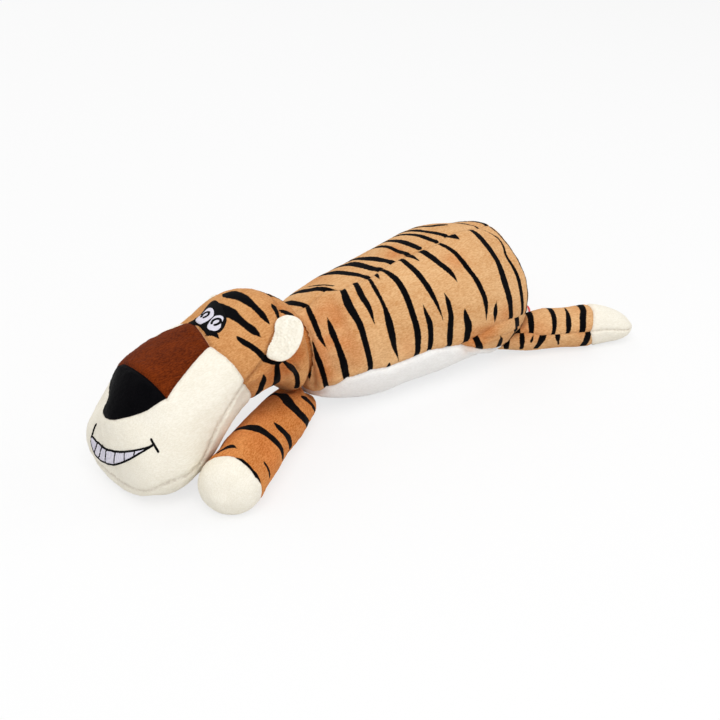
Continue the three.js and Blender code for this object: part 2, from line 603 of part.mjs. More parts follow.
// Foreleg, free of the torso, head and neck over its swing; the left one lies forwards, the right one back
function makeArm(sign, name) {
  const near = { angle: ARM_ANGLE, side: ARM_SIDE, setback: ARM_SETBACK, swing: ARM_SWING, headSwing: 0 };
  const farPlace = { angle: FAR_ARM_ANGLE, side: FAR_ARM_SIDE, setback: FAR_ARM_SETBACK };
  const far = { ...farPlace, swing: FAR_ARM_SWING, headSwing: FAR_ARM_SWING };
  const { angle, side, setback, swing, headSwing } = sign > 0 ? near : far;
  const place = placed(setback, -sign * side, Math.PI + sign * angle);
  const body = form({ ...bodySpec, offset: MOVING_GAP, pressed: false }).applyMatrix4(bodyPlace);
  const head = form({ ...headSpec, offset: CHEEK_GAP, pressed: false });
  const centre = new THREE.Vector3(ARM_PIVOT_INSET, 0, 0);
  const limits = [0, swing];
  const middle = new THREE.BoxGeometry(2 * ARM_LENGTH, 2 * ARM_WIDTH, 2 * BODY_HEIGHT);
  middle.translate(0, sign * (ARM_WIDTH - MOVING_GAP / 2), 0);
  const cut = (solid) => {
    let rest = sweptBy(solid, body, place, centre, Z, limits);
    rest = sweptBy(rest, neckBall(MOVING_GAP), place, centre, Z, limits);
    rest = sweptBy(rest, middle, place, centre, Z, limits);
    for (const headPose of [headPlace, headOtherWay]) {
      rest = sweptBy(rest, head.clone().applyMatrix4(headPose), place, centre, Z, [0, headSwing]);
    }
    return rest;
  };
  const names = [`${name}_sleeve`, `${name}_paw`, `${name}_arm`];
  return makeLimb(armSpec, place, cuffShare, names, cut, DEEP_ORANGE);
}

// Hind leg, free of the rump while it swings outwards
function makeLeg(sign, name) {
  const place = placed(BODY_LENGTH - LEG_FROM_RUMP - NECK_SETBACK, -sign * LEG_SIDE, -sign * LEG_ANGLE);
  const body = form({ ...bodySpec, offset: MOVING_GAP, pressed: false }).applyMatrix4(bodyPlace);
  const centre = new THREE.Vector3(LEG_PIVOT_INSET, 0, 0);
  const limits = sign > 0 ? [-LEG_SWING, 0] : [0, LEG_SWING];
  const cut = (solid) => sweptBy(solid, body, place, centre, Z, limits);
  return makeLimb(legSpec, place, footShare, [`${name}_leg_cloth`, `${name}_foot`, `${name}_leg`], cut, ORANGE);
}

// The middle of the toy's box stands over the origin
function centred(group) {
  const box = new THREE.Box3().setFromObject(group, true);
  const middle = box.getCenter(new THREE.Vector3());
  group.position.set(-middle.x, -middle.y, -box.min.z);
  return group;
}

const tiger = new THREE.Group();
tiger.add(makeNeck(), makeBody(), makeHead());
tiger.add(makeArm(1, 'left'), makeArm(-1, 'right'));
tiger.add(makeLeg(1, 'left'), makeLeg(-1, 'right'));

export default centred(tiger);
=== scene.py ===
"""A plush tiger lying on its belly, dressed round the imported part.

Tables are in millimetres or in shares of a piece's length, and every mesh is in metres.
"""

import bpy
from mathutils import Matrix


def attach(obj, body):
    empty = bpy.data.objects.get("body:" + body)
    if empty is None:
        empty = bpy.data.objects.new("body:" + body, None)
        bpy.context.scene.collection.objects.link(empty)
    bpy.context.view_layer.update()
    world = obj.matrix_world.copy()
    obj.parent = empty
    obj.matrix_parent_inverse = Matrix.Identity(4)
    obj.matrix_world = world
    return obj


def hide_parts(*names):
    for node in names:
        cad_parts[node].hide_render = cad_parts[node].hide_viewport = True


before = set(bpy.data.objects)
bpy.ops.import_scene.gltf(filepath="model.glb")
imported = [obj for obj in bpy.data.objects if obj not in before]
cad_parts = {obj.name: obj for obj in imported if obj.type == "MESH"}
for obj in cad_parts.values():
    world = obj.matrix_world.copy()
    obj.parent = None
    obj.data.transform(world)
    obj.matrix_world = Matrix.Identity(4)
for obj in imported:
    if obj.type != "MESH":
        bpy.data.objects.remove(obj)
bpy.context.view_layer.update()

import logging
import math
from dataclasses import dataclass
from enum import Enum
from functools import cached_property
from typing import Callable, Optional, Sequence

import bpy
import numpy as np
from mathutils import Matrix, Vector
from mathutils.bvhtree import BVHTree

LOG = logging.getLogger("plush_tiger")
Array = np.ndarray
Stroke = tuple[Array, Array]
MM = 0.001
FULL_TURN = 2 * math.pi


# ---------------------------------------------------------------- curves and noise


def cubic(ends: Array, place: Array) -> Array:
    """Places on the smooth curve through rows of numbers: each span is the cubic that leaves every row
    parallel to the chord between its two neighbours.

    Args:
        ends: The rows, with one more before the first and one more behind the last.
        place: Places along the curve, counted in rows from the first.

    Returns:
        One row of numbers for each place.
    """
    i = np.clip(np.floor(place).astype(int), 0, len(ends) - 4)
    f = (place - i)[:, None]
    a, b, c, d = ends[i], ends[i + 1], ends[i + 2], ends[i + 3]
    return 0.5 * (2 * b + (c - a) * f + (2 * a - 5 * b + 4 * c - d) * f**2 + (3 * b - a - 3 * c + d) * f**3)


def curve_through(rows: Sequence, steps: int = 8) -> Array:
    """The smooth curve through rows of numbers.

    Args:
        rows: The control rows, each of the same count of numbers.
        steps: Points made for each span.

    Returns:
        The curve's points, one row each.
    """
    rows = np.asarray(rows, float)
    if len(rows) < 3:
        share = np.linspace(0, 1, steps + 1)[:, None]
        return rows[0] + (rows[-1] - rows[0]) * share
    ends = np.vstack([2 * rows[0] - rows[1], rows, 2 * rows[-1] - rows[-2]])
    return cubic(ends, np.linspace(0, len(rows) - 1, steps * (len(rows) - 1) + 1))


def run_along(line: Array) -> Array:
    """The length run along a line up to each of its points."""
    return np.concatenate([[0], np.cumsum(np.linalg.norm(np.diff(line, axis=0), axis=1))])


def evenly(line: Array, count: int, closed: bool = False) -> Array:
    """Points at even steps of a line's length; a closed line's start isn't given again at its end."""
    run = run_along(line)
    at = np.linspace(0, run[-1], count, endpoint=not closed)
    return np.stack([np.interp(at, run, column) for column in line.T], -1)


def even_turns(count: int) -> Array:
    """Angles at even steps round a full turn."""
    return np.arange(count) / count * FULL_TURN


def folded(turn: Array) -> Array:
    """Angles in degrees with those of the toy's right side mirrored to its left."""
    return np.where((turn > 90) & (turn < 270), turn, (180 - turn) % 360)


def bell(away: Array, half: float) -> Array:
    """One at no distance, falling smoothly to a third at the half width."""
    return np.exp(-((away / half) ** 2))


def halved(low: Array, high: Array, holds: Callable[[Array], Array], rounds: int) -> tuple[Array, Array]:
    """Narrows the span between values for which something holds and values for which it doesn't.

    Args:
        low: Values for which it holds.
        high: Values for which it doesn't.
        holds: Tells it for values, one each.
        rounds: How often the span is halved.

    Returns:
        The last values for which it holds and the first for which it doesn't.
    """
    for _ in range(rounds):
        half = (low + high) / 2
        here = holds(half)
        low, high = np.where(here, half, low), np.where(here, high, half)
    return low, high


def ripple(points: Array, wavelength: float, seed: int, waves: int = 10) -> Array:
    """Smooth lumps: the mean of plane sine waves in random directions, scaled to about one.

    Args:
        points: Places in millimetres, three numbers each.
        wavelength: Typical distance between lumps, in millimetres.
        seed: Number that fixes the directions and phases.
        waves: How many waves are summed.

    Returns:
        One height for each place.
    """
    dice = np.random.default_rng(seed)
    direction = dice.normal(size=(waves, 3))
    direction /= np.linalg.norm(direction, axis=1, keepdims=True)
    length = wavelength * dice.uniform(0.7, 1.4, waves)
    phase = dice.uniform(0, FULL_TURN, waves)
    return np.sin(points @ (direction.T * FULL_TURN / length) + phase).sum(-1) / math.sqrt(waves / 2) / 1.6


def smooth_step(value: Array, low: float, high: float) -> Array:
    """The share from zero at low to one at high, with level ends."""
    share = np.clip((value - low) / (high - low), 0, 1)
    return share * share * (3 - 2 * share)


def line_distance(points: Array, line: Array, half: Optional[Array] = None, reach: float = 8.0) -> Array:
    """Distance from each point to a broken line, less the line's half width at the nearest place.

    Args:
        points: Places, one row each.
        line: The line's corners, one row each.
        half: Half width at each corner; none means a bare line.
        reach: Largest distance that is worked out; points further off get this value.

    Returns:
        One distance for each point, negative within the half width.
    """
    half = np.zeros(len(line)) if half is None else half
    grown = reach + half.max()
    found = np.full(len(points), reach)
    near = np.flatnonzero(np.all((points > line.min(0) - grown) & (points < line.max(0) + grown), axis=1))
    if not len(near):
        return found
    step = line[1:] - line[:-1]
    away = points[near][:, None, :] - line[None, :-1]
    share = np.clip((away * step).sum(-1) / np.maximum((step * step).sum(-1), 1e-9), 0, 1)
    gap = np.linalg.norm(away - share[..., None] * step, axis=-1)
    found[near] = np.minimum((gap - half[:-1] - share * (half[1:] - half[:-1])).min(1), reach)
    return found


def nearest_of(points: Array, strokes: Sequence[Stroke], reach: float = 6.0) -> Array:
    """The smallest line distance over several strokes."""
    found = np.full(len(points), reach)
    for line, half in strokes:
        found = np.minimum(found, line_distance(points, line, half, reach))
    return found


def side_of(flat: Array, line: Array) -> Array:
    """Signed distance of plane points to an open line, positive on its left, with both ends run on straight.

    Args:
        flat: Plane points, two numbers each.
        line: The line's corners, two numbers each.

    Returns:
        One signed distance for each point.
    """
    first, last = line[0] - line[1], line[-1] - line[-2]
    far = 400 / max(np.linalg.norm(first), 1e-6), 400 / max(np.linalg.norm(last), 1e-6)
    line = np.vstack([line[0] + first * far[0], line, line[-1] + last * far[1]])
    best = np.full(len(flat), 1e9)
    signed = np.zeros(len(flat))
    for a, b in zip(line[:-1], line[1:]):
        step, away = b - a, flat - a
        share = np.clip(away @ step / (step @ step), 0, 1)
        gap = away - share[:, None] * step
        size = np.linalg.norm(gap, axis=1)
        turn = step[0] * away[:, 1] - step[1] * away[:, 0]
        closer = size < best - 1e-9
        signed = np.where(closer, np.where(turn >= 0, size, -size), signed)
        best = np.where(closer, size, best)
    return signed


def inside_of(flat: Array, outline: Array) -> Array:
    """Signed distance of plane points to a closed outline, negative inside.

    Args:
        flat: Plane points, two numbers each.
        outline: The outline's corners in order, two numbers each.

    Returns:
        One signed distance for each point.
    """
    best = np.full(len(flat), 1e9)
    crossings = np.zeros(len(flat), int)
    for a, b in zip(outline, np.roll(outline, -1, axis=0)):
        step, away = b - a, flat - a
        share = np.clip(away @ step / max(step @ step, 1e-9), 0, 1)
        best = np.minimum(best, np.linalg.norm(away - share[:, None] * step, axis=1))
        spans = (a[1] > flat[:, 1]) != (b[1] > flat[:, 1])
        at = a[0] + (flat[:, 1] - a[1]) * step[0] / (step[1] if step[1] else 1e-9)
        crossings += spans & (flat[:, 0] < at)
    return np.where(crossings % 2 == 1, -best, best)


# ---------------------------------------------------------------- stuffed forms


@dataclass(frozen=True)
class StuffedForm:
    """A closed stuffed shape: sections along a line, each a rounded oval that is flat on the floor.

    A row holds the share along, the middle height, the half width, the rise, the drop, the oval's
    exponent and its taper towards the top, as shares of the sizes.
    """

    rows: tuple
    length: float
    width: float
    height: float
    start: tuple[float, float]
    turn: float

    @cached_property
    def table(self) -> Array:
        """Sections at even steps of the row number, on a curve whose radii change sign at both poles."""
        rows = np.array(self.rows, float)
        first, last = -rows[1], -rows[-2]
        for ghost, pole, row in ((first, rows[0], rows[1]), (last, rows[-1], rows[-2])):
            ghost[[1, 5, 6]] = row[[1, 5, 6]]
            ghost[0] = 2 * pole[0] - row[0]
        return cubic(np.vstack([first, rows, last]), np.linspace(0, len(rows) - 1, 2401))

    @cached_property
    def radius(self) -> Array:
        """The mean radius at each row of the table."""
        table = self.table
        return (table[:, 2] * self.width + (table[:, 3] + table[:, 4]) * self.height / 2) / 2

    @cached_property
    def slope(self) -> Array:
        """The radius's change for each millimetre of the length, at each row of the table."""
        return np.gradient(self.radius, self.table[:, 0] * self.length + np.arange(len(self.radius)) * 1e-7)

    def sections(self, share: Array) -> Array:
        """The section at each share of the length."""
        table = self.table
        return np.stack([np.interp(share, table[:, 0], table[:, k]) for k in range(7)], -1)

    def even_shares(self, count: int) -> Array:
        """Shares whose rings lie at even distances over the skin, both poles included."""
        along = self.table[:, 0]
        run = run_along(np.stack([along * self.length, self.radius], -1))
        return np.interp(np.linspace(0, run[-1], count), run, along)

    def skin(self, share: Array, theta: Array) -> Array:
        """Points of the skin: lateral is the half width times the cosine and height the rise or drop times
        the sine, both to the power two over the exponent, and nothing is below the floor.

        Args:
            share: Share of the length, of any shape.
            theta: Angle round the section, from the toy's left over the top, of the same shape.

        Returns:
            Points in the form's own axes, in millimetres.
        """
        section = self.sections(share)
        power = 2 / section[..., 5]
        cosine, sine = np.cos(theta), np.sin(theta)
        across = np.sign(cosine) * np.abs(cosine) ** power
        rise = np.sign(sine) * np.abs(sine) ** power
        span = np.where(rise > 0, section[..., 3], section[..., 4]) * self.height
        lateral = section[..., 2] * self.width * across * (1 - section[..., 6] * rise)
        height = np.maximum(section[..., 1] * self.height + span * rise, 0)
        return np.stack([share * self.length, lateral, height], -1)

    def drawn(self, rows: Array) -> Array:
        """Points of the skin for rows that start with a share along and an angle in degrees."""
        return self.skin(np.clip(rows[:, 0], 0, 1), np.radians(rows[:, 1]))

    def clearance(self, points: Array) -> Array:
        """Rough distance of points to the skin, negative inside: the share by which the point's radius
        passes the oval's, times that radius and the cosine of the skin's slope.

        Args:
            points: Places in the form's own axes, in millimetres, one row each.

        Returns:
            One distance for each point.
        """
        share = points[:, 0] / self.length
        section = self.sections(np.clip(share, 0, 1))
        up = points[:, 2] - section[:, 1] * self.height
        span = np.maximum(np.where(up > 0, section[:, 3], section[:, 4]) * self.height, 1e-3)
        taper = 1 - section[:, 6] * np.clip(up / span, -1, 1)
        half = np.maximum(section[:, 2] * self.width * taper, 1e-3)
        power = section[:, 5]
        ratio = (np.abs(points[:, 1] / half) ** power + np.abs(up / span) ** power) ** (1 / power)
        radius = np.hypot(points[:, 1], up)
        steep = np.interp(np.clip(share, 0.002, 0.998), self.table[:, 0], self.slope)
        beside = (radius - radius / np.maximum(ratio, 1e-6)) / np.sqrt(1 + steep**2)
        beyond = np.maximum(-points[:, 0], points[:, 0] - self.length)
        return np.where(beyond > 0, np.hypot(beyond, np.maximum(radius - 2, 0)), beside)

    @property
    def place(self) -> Array:
        """The matrix from the form's own axes to the toy's, in millimetres."""
        turn = Matrix.Rotation(math.radians(self.turn), 4, "Z")
        return np.array(Matrix.Translation((*self.start, 0)) @ turn)

    def to_toy(self, points: Array) -> Array:
        """Points of the form's own axes in the toy's axes."""
        return points @ self.place[:3, :3].T + self.place[:3, 3]

    def to_own(self, points: Array) -> Array:
        """Points of the toy's axes in the form's own axes."""
        return (points - self.place[:3, 3]) @ self.place[:3, :3]


BODY = StuffedForm(
    rows=(
        (0, 0.442, 0, 0, 0, 2, 0), (0.019, 0.442, 0.23, 0.25, 0.25, 2.1, 0),
        (0.085, 0.413, 0.356, 0.37, 0.345, 2.2, 0), (0.216, 0.394, 0.418, 0.452, 0.404, 2.3, 0),
        (0.404, 0.394, 0.459, 0.51, 0.418, 2.3, 0), (0.592, 0.404, 0.492, 0.558, 0.428, 2.3, 0),
        (0.742, 0.423, 0.5, 0.577, 0.442, 2.25, 0), (0.873, 0.442, 0.48, 0.519, 0.433, 2.2, 0),
        (0.958, 0.471, 0.4, 0.43, 0.4, 2.1, 0), (1, 0.481, 0, 0, 0, 2, 0),
    ),
    length=213, width=122, height=104, start=(-62.55, 0), turn=0,
)
HEAD = StuffedForm(
    rows=(
        (0, 0.527, 0, 0, 0, 2, 0), (0.023, 0.527, 0.31, 0.28, 0.235, 2, 0),
        (0.094, 0.545, 0.429, 0.382, 0.327, 2.1, 0), (0.211, 0.62, 0.46, 0.38, 0.27, 2.1, 0),
        (0.351, 0.63, 0.45, 0.324, 0.27, 2.2, 0), (0.491, 0.58, 0.455, 0.311, 0.33, 2.25, 0.02),
        (0.655, 0.465, 0.487, 0.403, 0.42, 2.3, 0.1), (0.807, 0.409, 0.5, 0.427, 0.427, 2.3, 0.22),
        (0.901, 0.382, 0.439, 0.355, 0.382, 2.2, 0.22), (0.965, 0.345, 0.327, 0.227, 0.282, 2.1, 0.15),
        (1, 0.327, 0, 0, 0, 2, 0.1),
    ),
    length=171, width=98, height=110, start=(-60.55, 0), turn=188,
)
ARM_ROWS = (
    (0, 0.368, 0, 0, 0, 2, 0), (0.03, 0.368, 0.273, 0.24, 0.24, 2, 0),
    (0.109, 0.368, 0.409, 0.316, 0.316, 2.1, 0), (0.29, 0.421, 0.455, 0.395, 0.395, 2.1, 0),
    (0.485, 0.474, 0.477, 0.447, 0.48, 2.1, 0), (0.727, 0.5, 0.5, 0.5, 0.53, 2.1, 0),
    (0.909, 0.474, 0.477, 0.447, 0.49, 2.1, 0), (1, 0.447, 0, 0, 0, 2, 0),
)
LEG_ROWS = (
    (0, 0.4, 0, 0, 0, 2, 0), (0.031, 0.4, 0.3, 0.22, 0.22, 2, 0), (0.12, 0.42, 0.42, 0.32, 0.32, 2.1, 0),
    (0.3, 0.5, 0.49, 0.45, 0.47, 2.1, 0), (0.551, 0.52, 0.5, 0.5, 0.54, 2.1, 0),
    (0.772, 0.52, 0.472, 0.47, 0.54, 2.1, 0), (0.921, 0.5, 0.361, 0.344, 0.4, 2.1, 0),
    (1, 0.44, 0, 0, 0, 2, 0),
)
ARM_SEAM = ((0, 196), (0.3, 201), (0.6, 206), (0.75, 216), (0.9, 232), (1, 240))
LEG_SEAM = (
    (0, 150), (0.083, 143), (0.161, 134), (0.243, 146), (0.314, 162), (0.435, 168), (0.653, 172),
    (0.781, 172), (1, 176),
)
NECK_CENTRE = np.array([-60.55, 0.0, 50.0])
NECK_RADIUS = 27.0
NECK_GAP = 1.2
CHEEK_GAP = 2.4
HEAD_GAP = 1.5
FLOOR_GAP = 0.25
KEPT_SPAN = 9.0
LEAST_SLOPE = 1e-3


class SkinGrid:
    """A closed skin on a grid of rings and sides, both end rings a pole."""

    def __init__(self, points: Array, share: Array, theta: Array) -> None:
        """Keeps the grid.

        Args:
            points: Places in the form's own axes, rings by sides by three.
            share: Share of the length at each place.
            theta: Angle round the section at each place.
        """
        self.points, self.share, self.theta = points, share, theta

    @property
    def flat(self) -> Array:
        """The places as one list."""
        return self.points.reshape(-1, 3)

    def steps(self) -> tuple[Array, Array]:
        """The skin's change along the rings and round the sides, for one step of each."""
        along = np.gradient(self.points, axis=0)
        around = (np.roll(self.points, -1, axis=1) - np.roll(self.points, 1, axis=1)) / 2
        return along, around

    def normals(self) -> Array:
        """Outward directions: the step round the side crossed with the step along."""
        along, around = self.steps()
        normal = np.cross(around, along)
        size = np.linalg.norm(normal, axis=-1, keepdims=True)
        normal = normal / np.maximum(size, 1e-9)
        normal[0], normal[-1] = (-1, 0, 0), (1, 0, 0)
        return normal

    def on_skin(self, value: Array, least: float = 0.3) -> Array:
        """A value that grows across the skin, made into millimetres along the skin by its own slope.

        Args:
            value: One number for each place, rings by sides.
            least: Smallest slope that is divided by.

        Returns:
            Signed distance over the skin to where the value is zero.
        """
        along, around = self.steps()
        first = np.gradient(value, axis=0)
        second = (np.roll(value, -1, axis=1) - np.roll(value, 1, axis=1)) / 2
        a, b, c = (along**2).sum(-1), (along * around).sum(-1), (around**2).sum(-1)
        area = np.maximum(a * c - b * b, 1e-6)
        slope = np.sqrt(np.maximum((c * first**2 - 2 * b * first * second + a * second**2) / area, 0))
        return value / np.maximum(slope, least)

    def shaped(self, values: Array) -> Array:
        """One number for each place, as rings by sides."""
        return values.reshape(self.share.shape)

    def away_from(self, form: StuffedForm, share: float, turn: float) -> Array:
        """Distance of each place to a spot of the form's skin, at a share along and an angle in degrees."""
        centre = form.skin(np.array(share), np.array(math.radians(turn % 360)))
        return np.linalg.norm(self.points - centre, axis=-1)

    def pressed_round_neck(self, form: StuffedForm) -> None:
        """Presses the end of the skin back over the neck: within the ball, a place goes to its far side."""
        own = form.to_own(NECK_CENTRE[None])[0]
        reach = NECK_RADIUS + NECK_GAP
        away = np.linalg.norm((self.points - own)[..., 1:], axis=-1)
        bowl = own[0] + np.sqrt(np.maximum(reach**2 - away**2, 0))
        pressed = np.maximum(self.points[..., 0], bowl)
        self.points[..., 0] = np.where(away < reach, pressed, self.points[..., 0])


def skin_grid(form: StuffedForm, rings: int, sides: int) -> SkinGrid:
    """A form's skin as a grid whose rings lie at even distances."""
    share, theta = np.meshgrid(form.even_shares(rings), even_turns(sides), indexing="ij")
    return SkinGrid(form.skin(share, theta), share, theta)


def closed_mesh(
    name: str, grids: Sequence[Array], values: Sequence[dict[str, Array]] = ()
) -> bpy.types.Object:
    """A closed object from grids whose first and last rings are poles.

    Args:
        name: The object's name.
        grids: Places in millimetres in the toy's axes, each rings by sides by three.
        values: For each grid, numbers kept on the vertices, each rings by sides, and held within the span.

    Returns:
        The new object, smooth, with its place in its mesh.
    """
    points, faces, kept, start = [], [], {}, 0
    for number, grid in enumerate(grids):
        rings, sides = grid.shape[:2]
        points += [grid[0].mean(0)[None], grid[1:-1].reshape(-1, 3), grid[-1].mean(0)[None]]
        at = start + 1 + np.arange((rings - 2) * sides).reshape(rings - 2, sides)
        beside = np.roll(at, -1, axis=1)
        tip = start + 1 + at.size
        faces += np.stack([at[:-1], beside[:-1], beside[1:], at[1:]], -1).reshape(-1, 4).tolist()
        faces += np.stack([np.full(sides, start), beside[0], at[0]], -1).tolist()
        faces += np.stack([np.full(sides, tip), at[-1], beside[-1]], -1).tolist()
        start = tip + 1
        for key, value in (values[number] if values else {}).items():
            ends = [value[0].mean()], value[1:-1].ravel(), [value[-1].mean()]
            kept.setdefault(key, []).append(np.concatenate(ends))
    mesh = bpy.data.meshes.new(name)
    mesh.from_pydata((np.vstack(points) * MM).tolist(), [], faces)
    for key, parts in kept.items():
        numbers = np.clip(np.concatenate(parts), -KEPT_SPAN, KEPT_SPAN).astype(np.float32)
        mesh.attributes.new(key, "FLOAT", "POINT").data.foreach_set("value", numbers)
    mesh.shade_smooth()
    piece = bpy.data.objects.new(name, mesh)
    bpy.context.scene.collection.objects.link(piece)
    return piece


def painted(form: StuffedForm, table: Sequence, overrun: float) -> list[Stroke]:
    """Brush strokes on a form's skin from rows of share along, angle in degrees and half width.

    Args:
        form: The form they lie on.
        table: The strokes, each a row of triples; a half width of zero is a pointed end.
        overrun: How far an end that isn't pointed runs on, in millimetres.

    Returns:
        Each stroke's middle line in the form's own axes and its half widths.
    """
    strokes = []
    for rows in table:
        curve = curve_through(rows, 7)
        line = form.drawn(curve)
        half = np.maximum(curve[:, 2], 0)
        for end, near in ((0, 1), (-1, -2)):
            if half[end] > 0.05:
                away = line[end] - line[near]
                away = away / max(np.linalg.norm(away), 1e-6) * overrun
                line = np.insert(line, 0 if end == 0 else len(line), line[end] + away, axis=0)
                half = np.insert(half, 0 if end == 0 else len(half), half[end])
        strokes.append((line, half))
    return strokes


def stripes(grid: SkinGrid, form: StuffedForm, table: Sequence, overrun: float = 7.0) -> Array:
    """Distance of each place of a cover to the nearest of the strokes painted on its form."""
    return grid.shaped(nearest_of(grid.flat, painted(form, table, overrun)))


def mirrored(rows: Sequence) -> tuple:
    """Rows of the other side: each has a share along and an angle first, and the angle is mirrored."""
    return tuple((along, 180 - turn, *rest) for along, turn, *rest in rows)


def mirrored_strokes(table: Sequence) -> tuple:
    """The strokes of the other side."""
    return tuple(mirrored(rows) for rows in table)


# ---------------------------------------------------------------- shader nodes


class NodeSheet:
    """Short calls that lay out the nodes of one tree."""

    def __init__(self, tree: bpy.types.NodeTree) -> None:
        """Keeps the tree."""
        self.tree = tree

    def add(self, kind: str, **settings: object) -> bpy.types.Node:
        """A new node with its settings."""
        node = self.tree.nodes.new(kind)
        for key, value in settings.items():
            setattr(node, key, value)
        return node

    def feed(self, socket: bpy.types.NodeSocket, value: object) -> None:
        """Links a socket's value in, or writes a plain one."""
        if isinstance(value, bpy.types.NodeSocket):
            self.tree.links.new(value, socket)
        else:
            socket.default_value = value

    def fill(self, node: bpy.types.Node, **values: object) -> bpy.types.Node:
        """Feeds a node's sockets by their names, with low lines for spaces, and gives the node back."""
        for label, value in values.items():
            self.feed(node.inputs[label.replace("_", " ")], value)
        return node

    def grouped(self, tree: bpy.types.NodeTree, **values: object) -> bpy.types.Node:
        """A node of a shared group with its sockets fed."""
        return self.fill(self.add("ShaderNodeGroup", node_tree=tree), **values)

    def maths(self, operation: str, *values: object, clamp: bool = False) -> bpy.types.NodeSocket:
        """The result of one sum of up to three values."""
        node = self.add("ShaderNodeMath", operation=operation, use_clamp=clamp)
        for socket, value in zip(node.inputs, values):
            self.feed(socket, value)
        return node.outputs[0]

    def ramp(
        self, value: object, low: object, high: object, to_low: float = 0, to_high: float = 1
    ) -> bpy.types.NodeSocket:
        """A value carried smoothly from one span to another, with its ends held."""
        node = self.add("ShaderNodeMapRange", interpolation_type="SMOOTHSTEP")
        for socket, part in zip(node.inputs, (value, low, high, to_low, to_high)):
            self.feed(socket, part)
        return node.outputs[0]

    def mix(self, share: object, first: object, second: object, blend: str = "MIX") -> bpy.types.NodeSocket:
        """Two colours mixed by a share."""
        node = self.add("ShaderNodeMix", data_type="RGBA", blend_type=blend)
        self.feed(node.inputs[0], share)
        self.feed(node.inputs[6], first)
        self.feed(node.inputs[7], second)
        return node.outputs[2]

    def noise(
        self, place: object, scale: float, detail: float = 2, rough: float = 0.5
    ) -> bpy.types.NodeSocket:
        """Cloudy numbers about a half, at a number of clouds to the metre."""
        node = self.add("ShaderNodeTexNoise")
        return self.fill(node, Vector=place, Scale=scale, Detail=detail, Roughness=rough).outputs["Fac"]

    def kept(self, name: str) -> bpy.types.NodeSocket:
        """A number kept on the mesh."""
        return self.add("ShaderNodeAttribute", attribute_name=name).outputs["Fac"]

    def tinted(self, share: object, colour: object, tint: Sequence[float]) -> bpy.types.NodeSocket:
        """A colour dimmed by a tint as far as the share says."""
        return self.mix(share, colour, self.mix(1.0, colour, linear(tint), "MULTIPLY"))

    def place(self) -> bpy.types.NodeSocket:
        """The place on the object, in metres."""
        return self.add("ShaderNodeTexCoord").outputs["Object"]

    def surface(self, colour: object, height: object, relief: tuple[float, float], **shine: float) -> None:
        """The last nodes of a material.

        Args:
            colour: The colour.
            height: The height of the relief, from zero to one.
            relief: The relief's strength and its depth in metres.
            shine: The shader's roughness and what else it needs.
        """
        strength, depth = relief
        bump = self.fill(self.add("ShaderNodeBump"), Strength=strength, Distance=depth, Height=height)
        cloth = self.add("ShaderNodeBsdfPrincipled")
        shader = self.fill(cloth, Base_Color=colour, Normal=bump.outputs[0], **shine)
        self.fill(self.add("ShaderNodeOutputMaterial"), Surface=shader.outputs[0])


def new_group(
    name: str, inputs: Sequence[tuple[str, str, object]], outputs: Sequence[tuple[str, str]]
) -> tuple:
    """An empty node group with named sockets.

    Args:
        name: The group's name.
        inputs: Each input's name, socket kind and plain value.
        outputs: Each output's name and socket kind.

    Returns:
        The group, its sheet, its input node and its output node.
    """
    tree = bpy.data.node_groups.new(name, "ShaderNodeTree")
    for label, kind, value in inputs:
        socket = tree.interface.new_socket(label, in_out="INPUT", socket_type=kind)
        if value is not None:
            socket.default_value = value
    for label, kind in outputs:
        tree.interface.new_socket(label, in_out="OUTPUT", socket_type=kind)
    sheet = NodeSheet(tree)
    return tree, sheet, sheet.add("NodeGroupInput"), sheet.add("NodeGroupOutput")


FLOAT, VECTOR = "NodeSocketFloat", "NodeSocketVector"


def make_pile_group() -> bpy.types.NodeTree:
    """Short plush pile: tufts about a millimetre wide drawn out along the nap, patches where the pile
    lies another way, and broad soft clouds. Height is for a bump and Shade for the colour."""
    tree, sheet, given, result = new_group(
        "plush_pile",
        [("Place", VECTOR, None), ("Tufts", FLOAT, 620.0), ("Patches", FLOAT, 1.0)],
        [("Height", FLOAT), ("Shade", FLOAT)],
    )
    place, patches = given.outputs["Place"], given.outputs["Patches"]
    fine = sheet.noise(place, given.outputs["Tufts"], 2.5, 0.6)
    hair = sheet.noise(place, 2200, 1, 0.5)
    patch = sheet.noise(place, 120, 1, 0.5)
    broad = sheet.noise(place, 34, 1, 0.5)
    tuft = sheet.maths("MULTIPLY", sheet.ramp(fine, 0.32, 0.68), 0.65)
    height = sheet.maths("ADD", tuft, sheet.maths("MULTIPLY", hair, 0.35))
    lie = sheet.maths("MULTIPLY", sheet.ramp(patch, 0.3, 0.7, -0.2, 0.2), patches)
    cloud = sheet.maths("MULTIPLY", sheet.ramp(broad, 0.3, 0.7, -0.3, 0.3), patches)
    shade = sheet.maths("ADD", sheet.ramp(fine, 0.3, 0.7, -0.75, 0.75), sheet.maths("ADD", lie, cloud))
    shade = sheet.maths("ADD", sheet.maths("MULTIPLY", shade, 0.5), 0.5, clamp=True)
    sheet.fill(result, Height=height, Shade=shade)
    return tree


